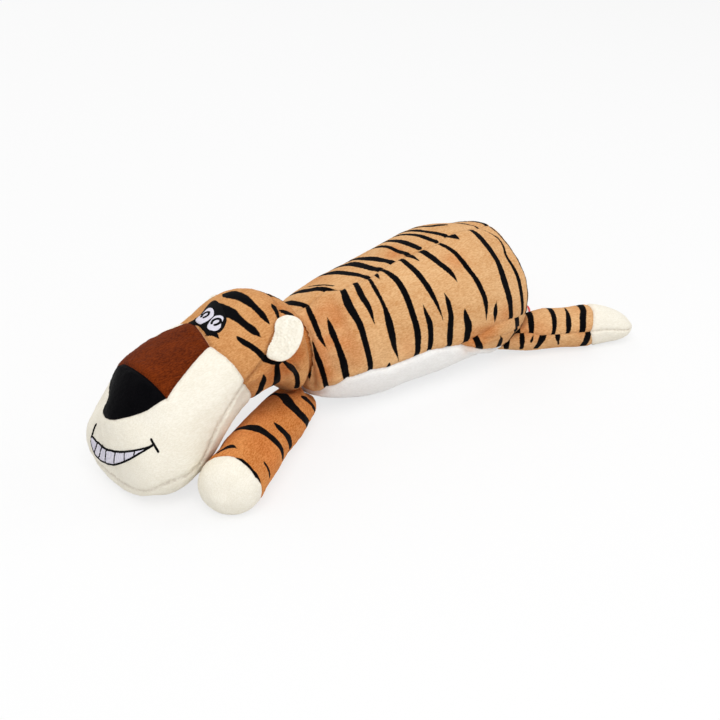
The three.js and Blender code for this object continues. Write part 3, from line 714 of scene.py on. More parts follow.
def make_edge_group() -> bpy.types.NodeTree:
    """Where a printed or sewn zone lies: one inside its outline and zero outside, the outline made ragged by
    the pile. The distance is in millimetres and negative inside."""
    tree, sheet, given, result = new_group(
        "zone_edge",
        [("Place", VECTOR, None), ("Distance", FLOAT, 0.0), ("Ragged", FLOAT, 0.5), ("Blur", FLOAT, 0.35)],
        [("Mask", FLOAT)],
    )
    place, distance, ragged, blur = given.outputs[:4]
    coarse = sheet.maths("SUBTRACT", sheet.noise(place, 330, 1, 0.5), 0.5)
    fine = sheet.maths("SUBTRACT", sheet.noise(place, 1100, 1, 0.5), 0.5)
    waver = sheet.maths("ADD", coarse, sheet.maths("MULTIPLY", fine, 1.3))
    waver = sheet.maths("MULTIPLY", sheet.maths("MULTIPLY", waver, ragged), 2.0)
    shifted = sheet.maths("ADD", distance, waver)
    sheet.fill(result, Mask=sheet.ramp(shifted, sheet.maths("MULTIPLY", blur, -1.0), blur, 1, 0))
    return tree


def make_seam_group() -> bpy.types.NodeTree:
    """The shaded line of a seam: one along it, fading over its width, broken a little by the pile."""
    tree, sheet, given, result = new_group(
        "seam_shade", [("Place", VECTOR, None), ("Distance", FLOAT, 9.0), ("Width", FLOAT, 1.7)],
        [("Mask", FLOAT)],
    )
    place, distance, width = given.outputs[:3]
    broken = sheet.ramp(sheet.noise(place, 420, 2, 0.6), 0.35, 0.6, 0.35, 1)
    line = sheet.ramp(distance, 0.0, width, 1, 0)
    sheet.fill(result, Mask=sheet.maths("MULTIPLY", line, broken))
    return tree


@dataclass(frozen=True)
class Cloth:
    """The look of one plush: its colour at the tips of the pile and deep in it."""

    tips: tuple[float, float, float]
    deep: tuple[float, float, float]


def linear(colour: Sequence[float]) -> tuple[float, float, float, float]:
    """A screen colour of 0 to 255 as the renderer's linear one, by the sRGB curve."""
    parts = [c / 255 for c in colour]
    return (*[p / 12.92 if p <= 0.04045 else ((p + 0.055) / 1.055) ** 2.4 for p in parts], 1.0)


def blank_material(name: str) -> tuple[bpy.types.Material, NodeSheet]:
    """A new material without nodes, and the sheet to lay them on."""
    material = bpy.data.materials.new(name)
    material.use_nodes = True
    material.node_tree.nodes.clear()
    return material, NodeSheet(material.node_tree)


TAN = Cloth(tips=(230, 186, 136), deep=(200, 144, 90))
HEAD_TAN = Cloth(tips=(222, 168, 112), deep=(190, 128, 74))
RUST = Cloth(tips=(226, 154, 90), deep=(184, 104, 44))
CREAM = Cloth(tips=(248, 243, 230), deep=(236, 229, 212))
BELLY = Cloth(tips=(250, 249, 247), deep=(238, 236, 233))
BROWN = Cloth(tips=(128, 54, 16), deep=(80, 28, 6))
BLACK = Cloth(tips=(9, 8, 11), deep=(3, 3, 5))
SEAM_SHADE = 0.26
SEAM_TINT = (150, 120, 100)
# Painted shade: the deeper orange that folds and shaded places are dimmed towards.
SHADE_TINT = (232, 176, 128)


@dataclass(frozen=True)
class Zone:
    """A part of a cover in another cloth: the distance kept on the mesh, negative inside it."""

    distance: str
    cloth: Cloth
    within: str = ""
    ragged: float = 0.3
    blur: float = 0.35


@dataclass(frozen=True)
class PlushFinish:
    """A plush cover's finish: its ground cloth, the zones laid over it and the way its nap lies."""

    name: str
    ground: Cloth
    zones: tuple[Zone, ...] = ()
    nap_turn: float = 0.0
    nap_stretch: float = 0.34
    tufts: float = 1150.0
    bump: float = 0.5
    seams: bool = True
    # Whether painted shade is laid in folds and shaded places.
    painted_shade: bool = False

    def material(self, groups: dict[str, bpy.types.NodeTree]) -> bpy.types.Material:
        """The finish as a material.

        Args:
            groups: The shared node groups by name.

        Returns:
            The new material.
        """
        material, sheet = blank_material(self.name)
        place = sheet.place()
        nap = sheet.add("ShaderNodeMapping", vector_type="TEXTURE")
        turn = (0, 0, math.radians(self.nap_turn))
        sheet.fill(nap, Vector=place, Rotation=turn, Scale=(1 / self.nap_stretch, 1, 1))
        pile = sheet.grouped(groups["pile"], Place=nap.outputs[0], Tufts=self.tufts)
        shade = pile.outputs["Shade"]
        colour = sheet.mix(shade, linear(self.ground.deep), linear(self.ground.tips))
        for zone in self.zones:
            outline = {"Distance": sheet.kept(zone.distance), "Ragged": zone.ragged, "Blur": zone.blur}
            edge = sheet.grouped(groups["edge"], Place=place, **outline)
            mask = edge.outputs["Mask"]
            if zone.within:
                inner = sheet.ramp(sheet.kept(zone.within), -0.15, 0.15, 1, 0)
                mask = sheet.maths("MULTIPLY", mask, inner)
            cloth = sheet.mix(shade, linear(zone.cloth.deep), linear(zone.cloth.tips))
            colour = sheet.mix(mask, colour, cloth)
        if self.seams:
            seam = sheet.grouped(groups["seam"], Place=place, Distance=sheet.kept("seam"))
            dim = sheet.maths("MULTIPLY", seam.outputs["Mask"], SEAM_SHADE)
            colour = sheet.tinted(dim, colour, SEAM_TINT)
        # Painted shade: the colour dimmed towards a deeper orange by the spots kept on the mesh.
        if self.painted_shade:
            colour = sheet.tinted(sheet.kept("painted_shade"), colour, SHADE_TINT)
        sheet.surface(
            colour, pile.outputs["Height"], (self.bump, 0.0003),
            Roughness=0.92, Specular_IOR_Level=0.03, Sheen_Weight=0.03, Sheen_Roughness=0.5,
        )
        return material


@dataclass(frozen=True)
class ThreadFinish:
    """Satin stitching: close threads side by side, with a soft gloss."""

    name: str
    light: tuple[float, float, float]
    dark: tuple[float, float, float]
    pitch: float = 0.0006

    def material(self, groups: dict[str, bpy.types.NodeTree]) -> bpy.types.Material:
        """The finish as a material.

        Args:
            groups: The shared node groups by name; not used.

        Returns:
            The new material.
        """
        material, sheet = blank_material(self.name)
        place = sheet.place()
        wave = sheet.add("ShaderNodeTexWave", wave_type="BANDS", bands_direction="X")
        sheet.fill(wave, Vector=place, Scale=0.314 / self.pitch, Distortion=1.2, Detail=1.0)
        threads = sheet.maths("MULTIPLY", wave.outputs["Fac"], 0.65)
        lit = sheet.maths("ADD", threads, sheet.maths("MULTIPLY", sheet.noise(place, 900, 2, 0.6), 0.35))
        colour = sheet.mix(lit, linear(self.dark), linear(self.light))
        sheet.surface(colour, lit, (0.6, 0.0002), Roughness=0.75, Specular_IOR_Level=0.08)
        return material


@dataclass(frozen=True)
class TapeFinish:
    """Woven tape: a fine pale weave with one coloured edge."""

    name: str
    ground: tuple[float, float, float] = (240, 236, 232)
    stripe: tuple[float, float, float] = (226, 92, 96)

    def material(self, groups: dict[str, bpy.types.NodeTree]) -> bpy.types.Material:
        """The finish as a material.

        Args:
            groups: The shared node groups by name; not used.

        Returns:
            The new material.
        """
        material, sheet = blank_material(self.name)
        place = sheet.place()
        weave = sheet.noise(place, 2600, 1, 0.5)
        mask = sheet.ramp(sheet.kept("edge"), -0.15, 0.15, 1, 0)
        dark = tuple(part * 0.9 for part in self.ground)
        ground = sheet.mix(weave, linear(dark), linear(self.ground))
        colour = sheet.mix(mask, ground, linear(self.stripe))
        sheet.surface(colour, weave, (0.3, 0.0001), Roughness=0.75, Specular_IOR_Level=0.25)
        return material


class Workshop:
    """The shared node groups, the finishes made so far and the last steps of every piece."""

    def __init__(self) -> None:
        """Makes the shared node groups."""
        self.groups = {"pile": make_pile_group(), "edge": make_edge_group(), "seam": make_seam_group()}
        self.materials: dict[str, bpy.types.Material] = {}

    def finish(
        self, piece: bpy.types.Object, finish: object, body: str, slot: str, nodes: Sequence[str],
        fill: float = 0,
    ) -> None:
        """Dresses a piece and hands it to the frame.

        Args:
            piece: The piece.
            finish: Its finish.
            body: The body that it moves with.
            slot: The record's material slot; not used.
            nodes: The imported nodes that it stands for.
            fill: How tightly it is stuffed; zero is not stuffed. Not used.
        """
        if finish.name not in self.materials:
            self.materials[finish.name] = finish.material(self.groups)
        piece.data.materials.append(self.materials[finish.name])
        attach(piece, body)
        if nodes:
            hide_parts(*nodes)
        LOG.info("%s on %s: %d vertices", piece.name, body, len(piece.data.vertices))


# ---------------------------------------------------------------- seams and folds


@dataclass(frozen=True)
class Fold:
    """A crease pressed into a cover: its line as share and angle pairs, its depth and its half width."""

    rows: tuple
    depth: float
    half: float

    def line(self, form: StuffedForm) -> Array:
        """The fold's line on a form."""
        return form.drawn(curve_through(self.rows, 6))


def seam_relief(
    grid: SkinGrid, distance: Array, seed: int, depth: float, half: float, pucker: float
) -> Array:
    """How far a seam pulls the cover in: a bell of the distance, a soft pillow beside it, and puckers
    that cross it and die away.

    Args:
        grid: The cover.
        distance: Signed distance to the seam in millimetres, rings by sides.
        seed: Number that fixes the puckers.
        depth: Depth at the seam.
        half: The bell's half width.
        pucker: Height of the puckers.

    Returns:
        Height to add, rings by sides.
    """
    away = np.abs(distance)
    wave = grid.shaped(ripple(grid.flat, 7.0, seed, 14))
    groove = bell(away, half)
    pillow = 0.21 * bell(away - 4.5, 2.8)
    puckers = pucker * wave * np.exp(-away / 6) * (1 - groove)
    return depth * (pillow - groove * (1 + 0.25 * wave)) + puckers


def fold_relief(grid: SkinGrid, form: StuffedForm, folds: Sequence[Fold]) -> Array:
    """How far the folds press a cover in: the sum of bells of the distance to each line.

    Args:
        grid: The cover.
        form: The form that the folds are drawn on.
        folds: The folds.

    Returns:
        Height to add, rings by sides.
    """
    total = np.zeros(grid.share.shape)
    for fold in folds:
        away = grid.shaped(line_distance(grid.flat, fold.line(form), None, fold.half * 4))
        total -= fold.depth * (bell(away, fold.half) - 0.35 * bell(away - 2 * fold.half, fold.half))
    return total


def painted_shade(grid: SkinGrid, form: StuffedForm, spots: Sequence) -> Array:
    """Painted shade in folds and shaded places: soft round spots, from zero to one, dimming to deeper orange.

    Args:
        grid: The cover.
        form: The form that the spots are placed on.
        spots: Share, angle in degrees, radius in millimetres and strength of each.

    Returns:
        One share for each place, rings by sides.
    """
    total = np.zeros(grid.share.shape)
    waver = 1 + 0.12 * grid.shaped(ripple(grid.flat, 14, 81))
    for share, turn, radius, strength in spots:
        total += strength * bell(grid.away_from(form, share, turn) * waver, radius)
    return np.clip(total, 0, 1)


def swell(grid: SkinGrid, seed: int, amount: float, wavelength: float) -> Array:
    """The uneven stuffing under the cloth and the tufts of its pile, as heights over the grid."""
    dice = np.random.default_rng(seed)
    broad = ripple(grid.flat, wavelength, seed) * amount
    small = ripple(grid.flat, 13.0, seed + 1, 16) * amount * 0.16
    tufts = ripple(grid.flat, 3.1, seed + 2, 22) * 0.07 + dice.normal(0, 0.035, len(grid.flat))
    return grid.shaped(broad + small + tufts)


def turn_at(rows: Sequence, share: Array) -> Array:
    """A seam's angle at shares along, from its rows of share and angle."""
    rows = np.array(rows)
    return np.interp(share, rows[:, 0], rows[:, 1])


def raised(grid: SkinGrid, height: Array, floor: float = FLOOR_GAP) -> Array:
    """The grid moved out along its normals by a height, and kept above the floor."""
    points = grid.points + grid.normals() * height[..., None]
    points[..., 2] = np.maximum(points[..., 2], floor)
    return points


def rounded_tip(points: Array, rings: int = 16, rounds: int = 40) -> Array:
    """The grid with its last pole rounded, by smoothing along lines that run over the pole from side to side.

    Args:
        points: Places, rings by sides by three, with an even number of sides.
        rings: Rings that are smoothed.
        rounds: How often.

    Returns:
        The smoothed places.
    """
    tip = points[-rings:]
    opposite = np.roll(tip, points.shape[1] // 2, axis=1)[::-1]
    line = np.concatenate([tip, opposite[1:]])
    for _ in range(rounds):
        line[1:-1] = (line[:-2] + 2 * line[1:-1] + line[2:]) / 4
    return np.concatenate([points[:-rings], line[:rings]])


# ---------------------------------------------------------------- torso


@dataclass
class Torso:
    """The long body: two flanks sewn along the back, and a pale belly sewn between them."""

    rings: int = 262
    sides: int = 376
    root_rise: float = 2.6
    root_groove: float = 1.5
    back_seam: tuple = (
        (0, 88), (0.038, 88), (0.096, 92), (0.188, 89), (0.229, 96), (0.287, 94), (0.34, 97), (0.407, 95),
        (0.494, 94), (0.587, 95), (0.668, 97), (0.718, 95), (0.827, 95), (0.93, 93), (1, 92),
    )
    belly_seam: tuple = (
        (0, 252), (0.03, 242), (0.044, 226), (0.056, 203), (0.114, 184), (0.204, 181), (0.275, 183),
        (0.388, 181), (0.454, 180), (0.531, 182), (0.595, 185), (0.64, 190), (0.685, 198), (0.75, 207),
        (0.82, 215), (0.9, 221), (0.96, 225), (1, 226),
    )
    haunch: tuple = (
        (0.592, 186.5), (0.606, 184), (0.674, 181.5), (0.758, 179.5), (0.825, 180.5), (0.907, 186),
        (0.97, 196), (0.99, 235), (0.9, 240), (0.75, 225), (0.66, 205),
    )
    # Painted shade in folds and shaded places: share, angle in degrees, radius in millimetres and strength.
    shade_spots: tuple = (
        (0.155, 103, 9, 0.4), (0.14, 122, 10, 0.5), (0.125, 148, 10, 0.5), (0.16, 165, 9, 0.4),
        (0.51, 88, 8, 0.6), (0.535, 81, 6, 0.4), (0.66, 118, 9, 0.5), (0.65, 184, 10, 0.7),
        (0.72, 181, 8, 0.6), (0.05, 150, 8, 0.6), (0.05, 180, 8, 0.7), (0.08, 110, 8, 0.5),
        (0.24, 60, 12, 0.4), (0.45, 40, 12, 0.4), (0.8, 60, 10, 0.4), (0.2, 20, 12, 0.5),
        (0.36, 172, 8, 0.3), (0.8, 176, 9, 0.5),
    )
    haunch_strokes: tuple = (
        ((0.655, 181, 2.4), (0.668, 190, 3.0), (0.685, 200, 3.0)),
        ((0.772, 190, 0), (0.782, 199, 2.8), (0.79, 212, 2.8)),
        ((0.862, 178, 2.8), (0.872, 190, 3.4), (0.882, 202, 3.4), (0.885, 214, 0)),
    )
    left_strokes: tuple = (
        ((0.094, 91, 1.6), (0.076, 105, 2.2), (0.059, 133, 1.9), (0.065, 153, 0)),
        ((0.033, 134, 0), (0.033, 154, 2.1), (0.04, 173, 2.2), (0.061, 209, 2)),
        ((0.01, 144, 0), (0.012, 163, 2.8), (0.014, 180, 2.9), (0.021, 208, 0)),
        ((0.114, 115, 0), (0.101, 132, 2.4), (0.099, 149, 2.1), (0.105, 171, 2.9), (0.117, 192, 2)),
        ((0.235, 94, 2.2), (0.202, 116, 3.5), (0.198, 138, 2.8), (0.194, 157, 2.6), (0.206, 187, 2.2)),
        ((0.297, 91, 2), (0.267, 111, 2.6), (0.26, 127, 2), (0.249, 145, 0)),
        ((0.383, 93, 1.2), (0.375, 99, 1.4), (0.368, 105, 0)),
        (
            (0.352, 91, 1), (0.327, 110, 1.7), (0.317, 128, 1.6), (0.309, 146, 3.2), (0.307, 164, 2.7),
            (0.319, 181, 0),
        ),
        (
            (0.407, 94, 1.4), (0.415, 109, 2.5), (0.41, 131, 2.6), (0.407, 148, 2.6), (0.407, 165, 2.9),
            (0.395, 185, 2.4),
        ),
        ((0.497, 94, 2), (0.497, 108, 2.5), (0.502, 129, 2.5), (0.509, 145, 1.6), (0.519, 162, 0)),
        ((0.53, 88, 2.4), (0.537, 96, 2.4), (0.545, 106, 0)),
        ((0.589, 84, 2.9), (0.591, 97, 2.9), (0.602, 113, 2.8), (0.617, 127, 1.9), (0.621, 137, 0)),
        ((0.722, 94, 2.9), (0.733, 98, 2.9), (0.74, 104, 0)),
        ((0.457, 141, 0), (0.457, 150, 1.6), (0.462, 161, 2.5), (0.452, 181, 2.2)),
        ((0.553, 139, 0), (0.555, 148, 2), (0.553, 159, 2.4), (0.543, 170, 2.8), (0.536, 184, 2.6)),
        ((0.613, 157, 0), (0.615, 165, 2.5), (0.621, 173, 3.3), (0.613, 182, 3)),
        (
            (0.668, 96, 1.4), (0.682, 111, 1.9), (0.687, 130, 2), (0.702, 149, 2.4), (0.706, 162, 2),
            (0.7, 174, 0),
        ),
        ((0.827, 95, 2.6), (0.831, 114, 3.2), (0.832, 133, 2.9), (0.822, 150, 3.5), (0.829, 175, 2.6)),
        ((0.758, 162, 0), (0.747, 170, 2.3), (0.742, 178, 0)),
        (
            (0.876, 94, 0), (0.914, 112, 0.8), (0.893, 130, 1.2), (0.898, 147, 1.8), (0.896, 168, 2.0),
            (0.902, 188, 1.6),
        ),
        ((0.928, 92, 0.8), (0.939, 117, 1.1), (0.943, 142, 1.5), (0.945, 160, 1.7), (0.926, 189, 1.3)),
        ((0.155, 181, 0), (0.155, 185, 1.5), (0.16, 189, 1.2)),
        ((0.282, 179, 0), (0.28, 182, 1.9), (0.282, 187, 1.6)),
        ((0.976, 96, 0.8), (0.978, 128, 1.2), (0.979, 158, 1.2), (0.976, 184, 0)),
    )
    right_strokes: tuple = (
        (
            (0.792, 82, 0), (0.782, 80, 2.2), (0.765, 77, 3.1), (0.731, 71, 2.8), (0.712, 50, 2.6),
            (0.708, 25, 2.4), (0.716, -4, 2.4),
        ),
        ((0.717, 95, 2.1), (0.696, 84, 2.1), (0.68, 73, 2.1), (0.665, 50, 2.6), (0.66, 25, 2), (0.665, 5, 0)),
        (
            (0.661, 90, 2.1), (0.645, 76, 2.1), (0.623, 60, 2.2), (0.61, 38, 2.6), (0.605, 10, 2.4),
            (0.61, -5, 2.2),
        ),
        ((0.589, 88, 2.9), (0.582, 79, 2.9), (0.573, 69, 2.7), (0.565, 50, 2.2), (0.56, 35, 0)),
        (
            (0.545, 104, 2.4), (0.536, 93, 2.4), (0.529, 78, 2), (0.514, 52, 2.2), (0.505, 25, 2.6),
            (0.51, -4, 2.4),
        ),
        ((0.462, 92, 2.8), (0.449, 85, 3.1), (0.429, 72, 3), (0.41, 52, 2.6), (0.4, 30, 2), (0.395, 12, 0)),
        (
            (0.405, 94, 3), (0.388, 85, 3.4), (0.373, 68, 4.2), (0.337, 51, 3), (0.325, 25, 2.6),
            (0.33, -4, 2.4),
        ),
        ((0.337, 92, 2.4), (0.294, 75, 4), (0.265, 59, 3), (0.25, 40, 2.4), (0.245, 22, 0)),
        ((0.16, 62, 0), (0.185, 76, 0.9), (0.205, 84, 0.9)),
        (
            (0.2, 92, 2.4), (0.166, 80, 3.2), (0.146, 72, 3.2), (0.129, 54, 2.8), (0.12, 30, 2.6),
            (0.125, -2, 2.4),
        ),
        ((0.091, 92, 2), (0.076, 79, 2.8), (0.07, 62, 2.6), (0.065, 40, 2.2), (0.068, 20, 0)),
        ((0.455, 38, 0), (0.457, 24, 2), (0.46, 10, 2.6), (0.452, -4, 2.4)),
        ((0.556, 28, 0), (0.555, 14, 2.4), (0.548, -4, 2.4)),
        ((0.2, 34, 0), (0.2, 18, 2.4), (0.205, -4, 2.4)),
        ((0.77, 42, 0), (0.765, 22, 2.2), (0.76, 0, 2.4)),
        ((0.876, 88, 1.4), (0.862, 64, 2.8), (0.85, 38, 3.2), (0.848, 14, 2.8), (0.852, -6, 2.4)),
        ((0.93, 90, 2.2), (0.918, 64, 2.4), (0.914, 34, 2.8), (0.912, 6, 0)),
        ((0.972, 84, 1.6), (0.966, 56, 2.4), (0.964, 26, 2.4), (0.956, -10, 2.2)),
        ((0.03, 62, 0), (0.03, 44, 2.2), (0.036, 20, 2), (0.05, -10, 0)),
    )
    folds: tuple = (
        Fold(((0.029, 100), (0.032, 135), (0.02, 170), (0.03, 215)), 1.6, 2.6),
        Fold(((0.179, 96), (0.151, 116), (0.129, 136), (0.128, 168)), 0.9, 5.0),
        Fold(((0.5, 88), (0.54, 84)), 1.0, 6.0),
        Fold(((0.27, 176), (0.32, 168), (0.35, 160)), 0.7, 5.0),
        Fold(((0.06, 165), (0.09, 180), (0.13, 176)), 1.1, 3.6),
        Fold(((0.7, 187), (0.78, 191), (0.86, 197), (0.93, 204)), 0.8, 1.1),
        Fold(((0.16, 100), (0.145, 120), (0.135, 145)), 1.5, 4.0),
        Fold(((0.63, 112), (0.66, 120), (0.665, 128)), 0.8, 4.0),
    )

    def build(self, shop: Workshop) -> None:
        """Makes the torso's cover and its label."""
        grid = skin_grid(BODY, self.rings, self.sides)
        grid.pressed_round_neck(BODY)
        share, turn = grid.share, np.degrees(grid.theta)
        centred = (turn - turn_at(self.back_seam, share) + 180) % 360 - 180
        under = np.abs(centred) > 90
        back = grid.on_skin(centred, LEAST_SLOPE)
        belly = grid.on_skin(turn_at(self.belly_seam, share) - folded(turn), LEAST_SLOPE)
        height = seam_relief(grid, np.where(under, 50, back), 11, 0.7, 1.5, 0.25)
        height += seam_relief(grid, belly, 12, 1.3, 1.8, 0.4)
        height += fold_relief(grid, BODY, self.folds) + swell(grid, 21, 1.1, 62)
        height += 0.5 * bell(np.clip(-belly, 0, 60) - 10, 8)
        haunch = self.haunch_edge(grid, folded(turn))
        fading = 1 - smooth_step(share, 0.74, 0.93)
        height += self.root_rise * smooth_step(-haunch, 0.0, 9.0) * fading
        height -= self.root_groove * bell(haunch, 1.5) * np.maximum(fading, 0.2)
        roots = self.haunch_strokes + mirrored_strokes(self.haunch_strokes)
        values = {
            "stripe_left": stripes(grid, BODY, self.left_strokes),
            "stripe_right": stripes(grid, BODY, self.right_strokes),
            "haunch_stripe": stripes(grid, BODY, roots, 4),
            "left_side": -centred, "right_side": centred, "belly": belly, "haunch": haunch,
            "seam": np.minimum(np.abs(back) + np.where(under, 50, 0), np.abs(belly)),
            "painted_shade": painted_shade(grid, BODY, self.shade_spots),
        }
        cover = closed_mesh("torso_cover", [BODY.to_toy(raised(grid, height))], [values])
        finish = PlushFinish(
            "torso plush", TAN,
            (
                Zone("stripe_left", BLACK, "left_side"), Zone("stripe_right", BLACK, "right_side"),
                Zone("haunch", TAN, "", 0.05, 0.2), Zone("haunch_stripe", BLACK, "haunch"),
                Zone("belly", BELLY, "", 0.12, 0.3),
            ),
            painted_shade=True,
        )
        nodes = ("left_flank_panel", "right_flank_panel", "belly_panel", "body_fill")
        shop.finish(cover, finish, "torso", "orange_plush", nodes, 0.75)
        Label().build(shop)

    def haunch_edge(self, grid: SkinGrid, turn: Array) -> Array:
        """Distance over the skin to the edge of the hind legs' roots, negative on them."""
        plane = np.stack([grid.share.ravel() * BODY.length, turn.ravel()], -1)
        outline = np.array(self.haunch) * [BODY.length, 1]
        return grid.on_skin(grid.shaped(inside_of(plane, outline)), LEAST_SLOPE)


# ---------------------------------------------------------------- neck


@dataclass
class Neck:
    """The short stuffed neck that the head turns on."""

    rings: int = 90
    sides: int = 150
    strokes: tuple = (
        ((-20.5, -17.7, -0.1, 2.2), (-18.2, -12, -15.9, 2.4), (-15, -9, -22, 2.0)),
        ((-17.8, -20.2, -2.5, 2.4), (-10.8, -21.5, -12.3, 2.6), (-7, -17, -20, 2.2)),
        ((-23.2, -1.8, -13.7, 2.0), (-18, -3, -20, 2.2)),
    )

    def build(self, shop: Workshop) -> None:
        """Makes the neck's cover: a ball with its poles on the toy's length."""
        lean, theta = np.meshgrid(np.linspace(0, math.pi, self.rings), even_turns(self.sides), indexing="ij")
        points = np.stack([-np.cos(lean), np.sin(lean) * np.cos(theta), np.sin(lean) * np.sin(theta)], -1)
        grid = SkinGrid(points * (NECK_RADIUS - 0.2), lean, theta)
        height = np.minimum(swell(grid, 31, 0.6, 30), 0.3)
        strokes = [(rows[:, :3], rows[:, 3]) for rows in map(np.array, self.strokes)]
        stripe = grid.shaped(nearest_of(grid.flat, strokes))
        cover = closed_mesh("neck_cover", [raised(grid, height, -100) + NECK_CENTRE], [{"stripe": stripe}])
        finish = PlushFinish("neck plush", RUST, (Zone("stripe", BLACK),), seams=False)
        shop.finish(cover, finish, "neck", "deep_orange_plush", ("neck_sleeve", "neck_fill"), 0.6)


# ---------------------------------------------------------------- head


@dataclass
class Head:
    """The long head: an orange crown, brown bridge, black nose, pale muzzle and chin, and a stitched face."""

    rings: int = 262
    sides: int = 360
    corner: tuple = (0.452, 0.636)
    chin_seam: tuple = (
        (0.52, 0.57), (0.61, 0.47), (0.655, 0.395), (0.725, 0.28), (0.807, 0.236), (0.89, 0.212),
        (0.965, 0.13), (1.06, 0.06),
    )
    back_seam: tuple = ((0.06, 1.1), (0.1, 0.97), (0.175, 0.92), (0.24, 0.87), (0.33, 0.765))
    throat_seam: tuple = (
        (0.425, 0.57), (0.395, 0.49), (0.37, 0.4), (0.345, 0.31), (0.3, 0.26), (0.2, 0.24), (-0.1, 0.22),
    )
    crown_seam: tuple = ((0.475, 0.745), (0.491, 0.82), (0.509, 0.885), (0.5, 1.1))
    bridge_seam: tuple = (
        (0.4, 0.15), (0.509, 0.174), (0.608, 0.224), (0.708, 0.275), (0.81, 0.322), (0.87, 0.35),
    )
    nose_outline: tuple = (
        (0.322, 1.1), (0.322, 0.73), (0.265, 0.672), (0.153, 0.615), (0.06, 0.57), (0, 0.55),
        (-0.08, 0.535), (-0.16, 0.535), (-0.3, 0.56), (-0.42, 0.61), (-0.42, 1.1),
    )
    strokes: tuple = (
        (
            (0.25, 118, 0), (0.252, 107, 4.7), (0.25, 99, 4.7), (0.248, 90, 4), (0.25, 81, 3.4),
            (0.25, 74, 2.7), (0.25, 67, 2.5), (0.25, 58, 2.4), (0.248, 47, 0),
        ),
        (
            (0.315, 106, 0), (0.344, 91, 5.3), (0.338, 83, 4.5), (0.338, 73, 3.1), (0.334, 63, 2.8),
            (0.326, 53, 3.0), (0.314, 41, 0),
        ),
        (
            (0.399, 61, 0), (0.397, 54, 1.8), (0.387, 46, 2.4), (0.374, 39, 2.3), (0.358, 30, 2.4),
            (0.34, 20, 2.6), (0.3, 12, 3.0), (0.26, 9, 2.8), (0.22, 9, 0),
        ),
        ((0.486, 83, 0), (0.46, 78, 2.4), (0.46, 69, 0)),
        ((0.13, 96, 0), (0.1, 90, 2.6), (0.075, 82, 2.2), (0.06, 74, 0)),
        ((0.171, 69, 0), (0.17, 63, 2.8), (0.179, 55, 2), (0.183, 48, 0)),
        ((0.15, 62, 0), (0.135, 58, 2.3), (0.092, 56, 2), (0.07, 54, 0)),
        ((0.358, 4, 0), (0.352, -6, 2.2), (0.352, -22, 2.6), (0.352, -34, 2.6)),
        ((0.285, 9, 1.6), (0.284, -4, 2.4), (0.28, -16, 3.2), (0.27, -32, 3.4), (0.265, -50, 3.0)),
        ((0.25, 8, 1.2), (0.205, -3, 2.4), (0.165, -13, 3.0), (0.14, -25, 3.0), (0.125, -36, 2.4)),
    )
    far_strokes: tuple = (
        ((0.36, 150, 0), (0.35, 158, 2.6), (0.3, 168, 3.0), (0.26, 171, 2.8), (0.22, 171, 0)),
        ((0.25, 128, 0), (0.252, 140, 3.0), (0.25, 152, 0)),
    )
    folds: tuple = (
        Fold(((0.335, 14), (0.38, 10), (0.43, 9)), 1.6, 2.2),
        Fold(((0.3, 4), (0.315, -10), (0.32, -24)), 1.3, 2.4),
        Fold(((0.26, 4), (0.235, -12), (0.215, -28)), 1.3, 2.4),
        Fold(((0.235, 8), (0.17, -2), (0.12, -14)), 1.5, 2.4),
        Fold(((0.215, 14), (0.14, 14), (0.08, 10)), 1.2, 2.6),
    )
    dents: tuple = (
        (0.43, -14, 6.0, 14.0), (0.12, 16, 8.0, 15.0), (0.12, -16, 6.0, 14.0), (0.92, 48, 3.2, 15.0),
    )
    far_dents: tuple = ((0.395, 127, 6.0, 13.0), (0.9, 150, 9.0, 22.0))
    # Painted shade in the head's folds and shaded places: share, angle in degrees, radius in millimetres and
    # strength.
    shade_spots: tuple = (
        (0.3, -6, 12, 0.5), (0.2, 0, 12, 0.6), (0.1, 12, 12, 0.6), (0.24, 28, 8, 0.4), (0.13, 60, 12, 0.3),
    )
    lopsided: float = 12.0
    far_shift: float = 0.315
    nose_share: float = 0.803
    nose_bow: float = 3.2

    def build(self, shop: Workshop) -> None:
        """Makes the head's cover, ears and stitched face."""
        grid = skin_grid(HEAD, self.rings, self.sides)
        grid.pressed_round_neck(HEAD)
        zones = self.zones(grid)
        seams = [zones[name] for name in ("back_edge", "crown_edge", "bridge", "nose", "chin_edge")]
        height = swell(grid, 41, 0.9, 55)
        for seed, (distance, depth) in enumerate(zip(seams, (1.1, 0.9, 0.9, 0.7, 0.8))):
            height += seam_relief(grid, distance, 42 + seed, depth, 1.5, 0.3)
        height += fold_relief(grid, HEAD, self.folds) + self.dented(grid)
        strokes = self.strokes + self.far_strokes + mirrored_strokes(self.strokes[-3:])
        values = {name: zones[name] for name in ("bridge", "nose", "pale")}
        values["stripe"] = stripes(grid, HEAD, strokes)
        values["seam"] = np.min(np.abs(seams), axis=0)
        values["painted_shade"] = painted_shade(grid, HEAD, self.shade_spots)
        cover = closed_mesh("head_cover", [HEAD.to_toy(raised(grid, height))], [values])
        finish = PlushFinish(
            "head plush", HEAD_TAN,
            (
                Zone("stripe", BLACK), Zone("pale", CREAM, "", 0.1, 0.25),
                Zone("bridge", BROWN, "", 0.1, 0.25), Zone("nose", BLACK, "", 0.1, 0.25),
            ),
            nap_turn=188, painted_shade=True,
        )
        panels = ("crown", "head_back", "bridge", "nose", "muzzle", "chin")
        nodes = (*[f"{panel}_panel" for panel in panels], "head_fill")
        shop.finish(cover, finish, "head", "cream_plush", nodes, 0.8)
        Face().build(shop, cover)
        Ear("left", 0, 4).build(shop)
        Ear("right", 30, -7, 18.0).build(shop)

    def dented(self, grid: SkinGrid) -> Array:
        """Hollows at the cheeks and throat on both sides, and beside the eyes and nose on the far side."""
        total = np.zeros(grid.share.shape)
        for share, turn, depth, radius in self.dents + mirrored(self.dents) + self.far_dents:
            total -= depth * bell(grid.away_from(HEAD, share, turn), radius)
        return total

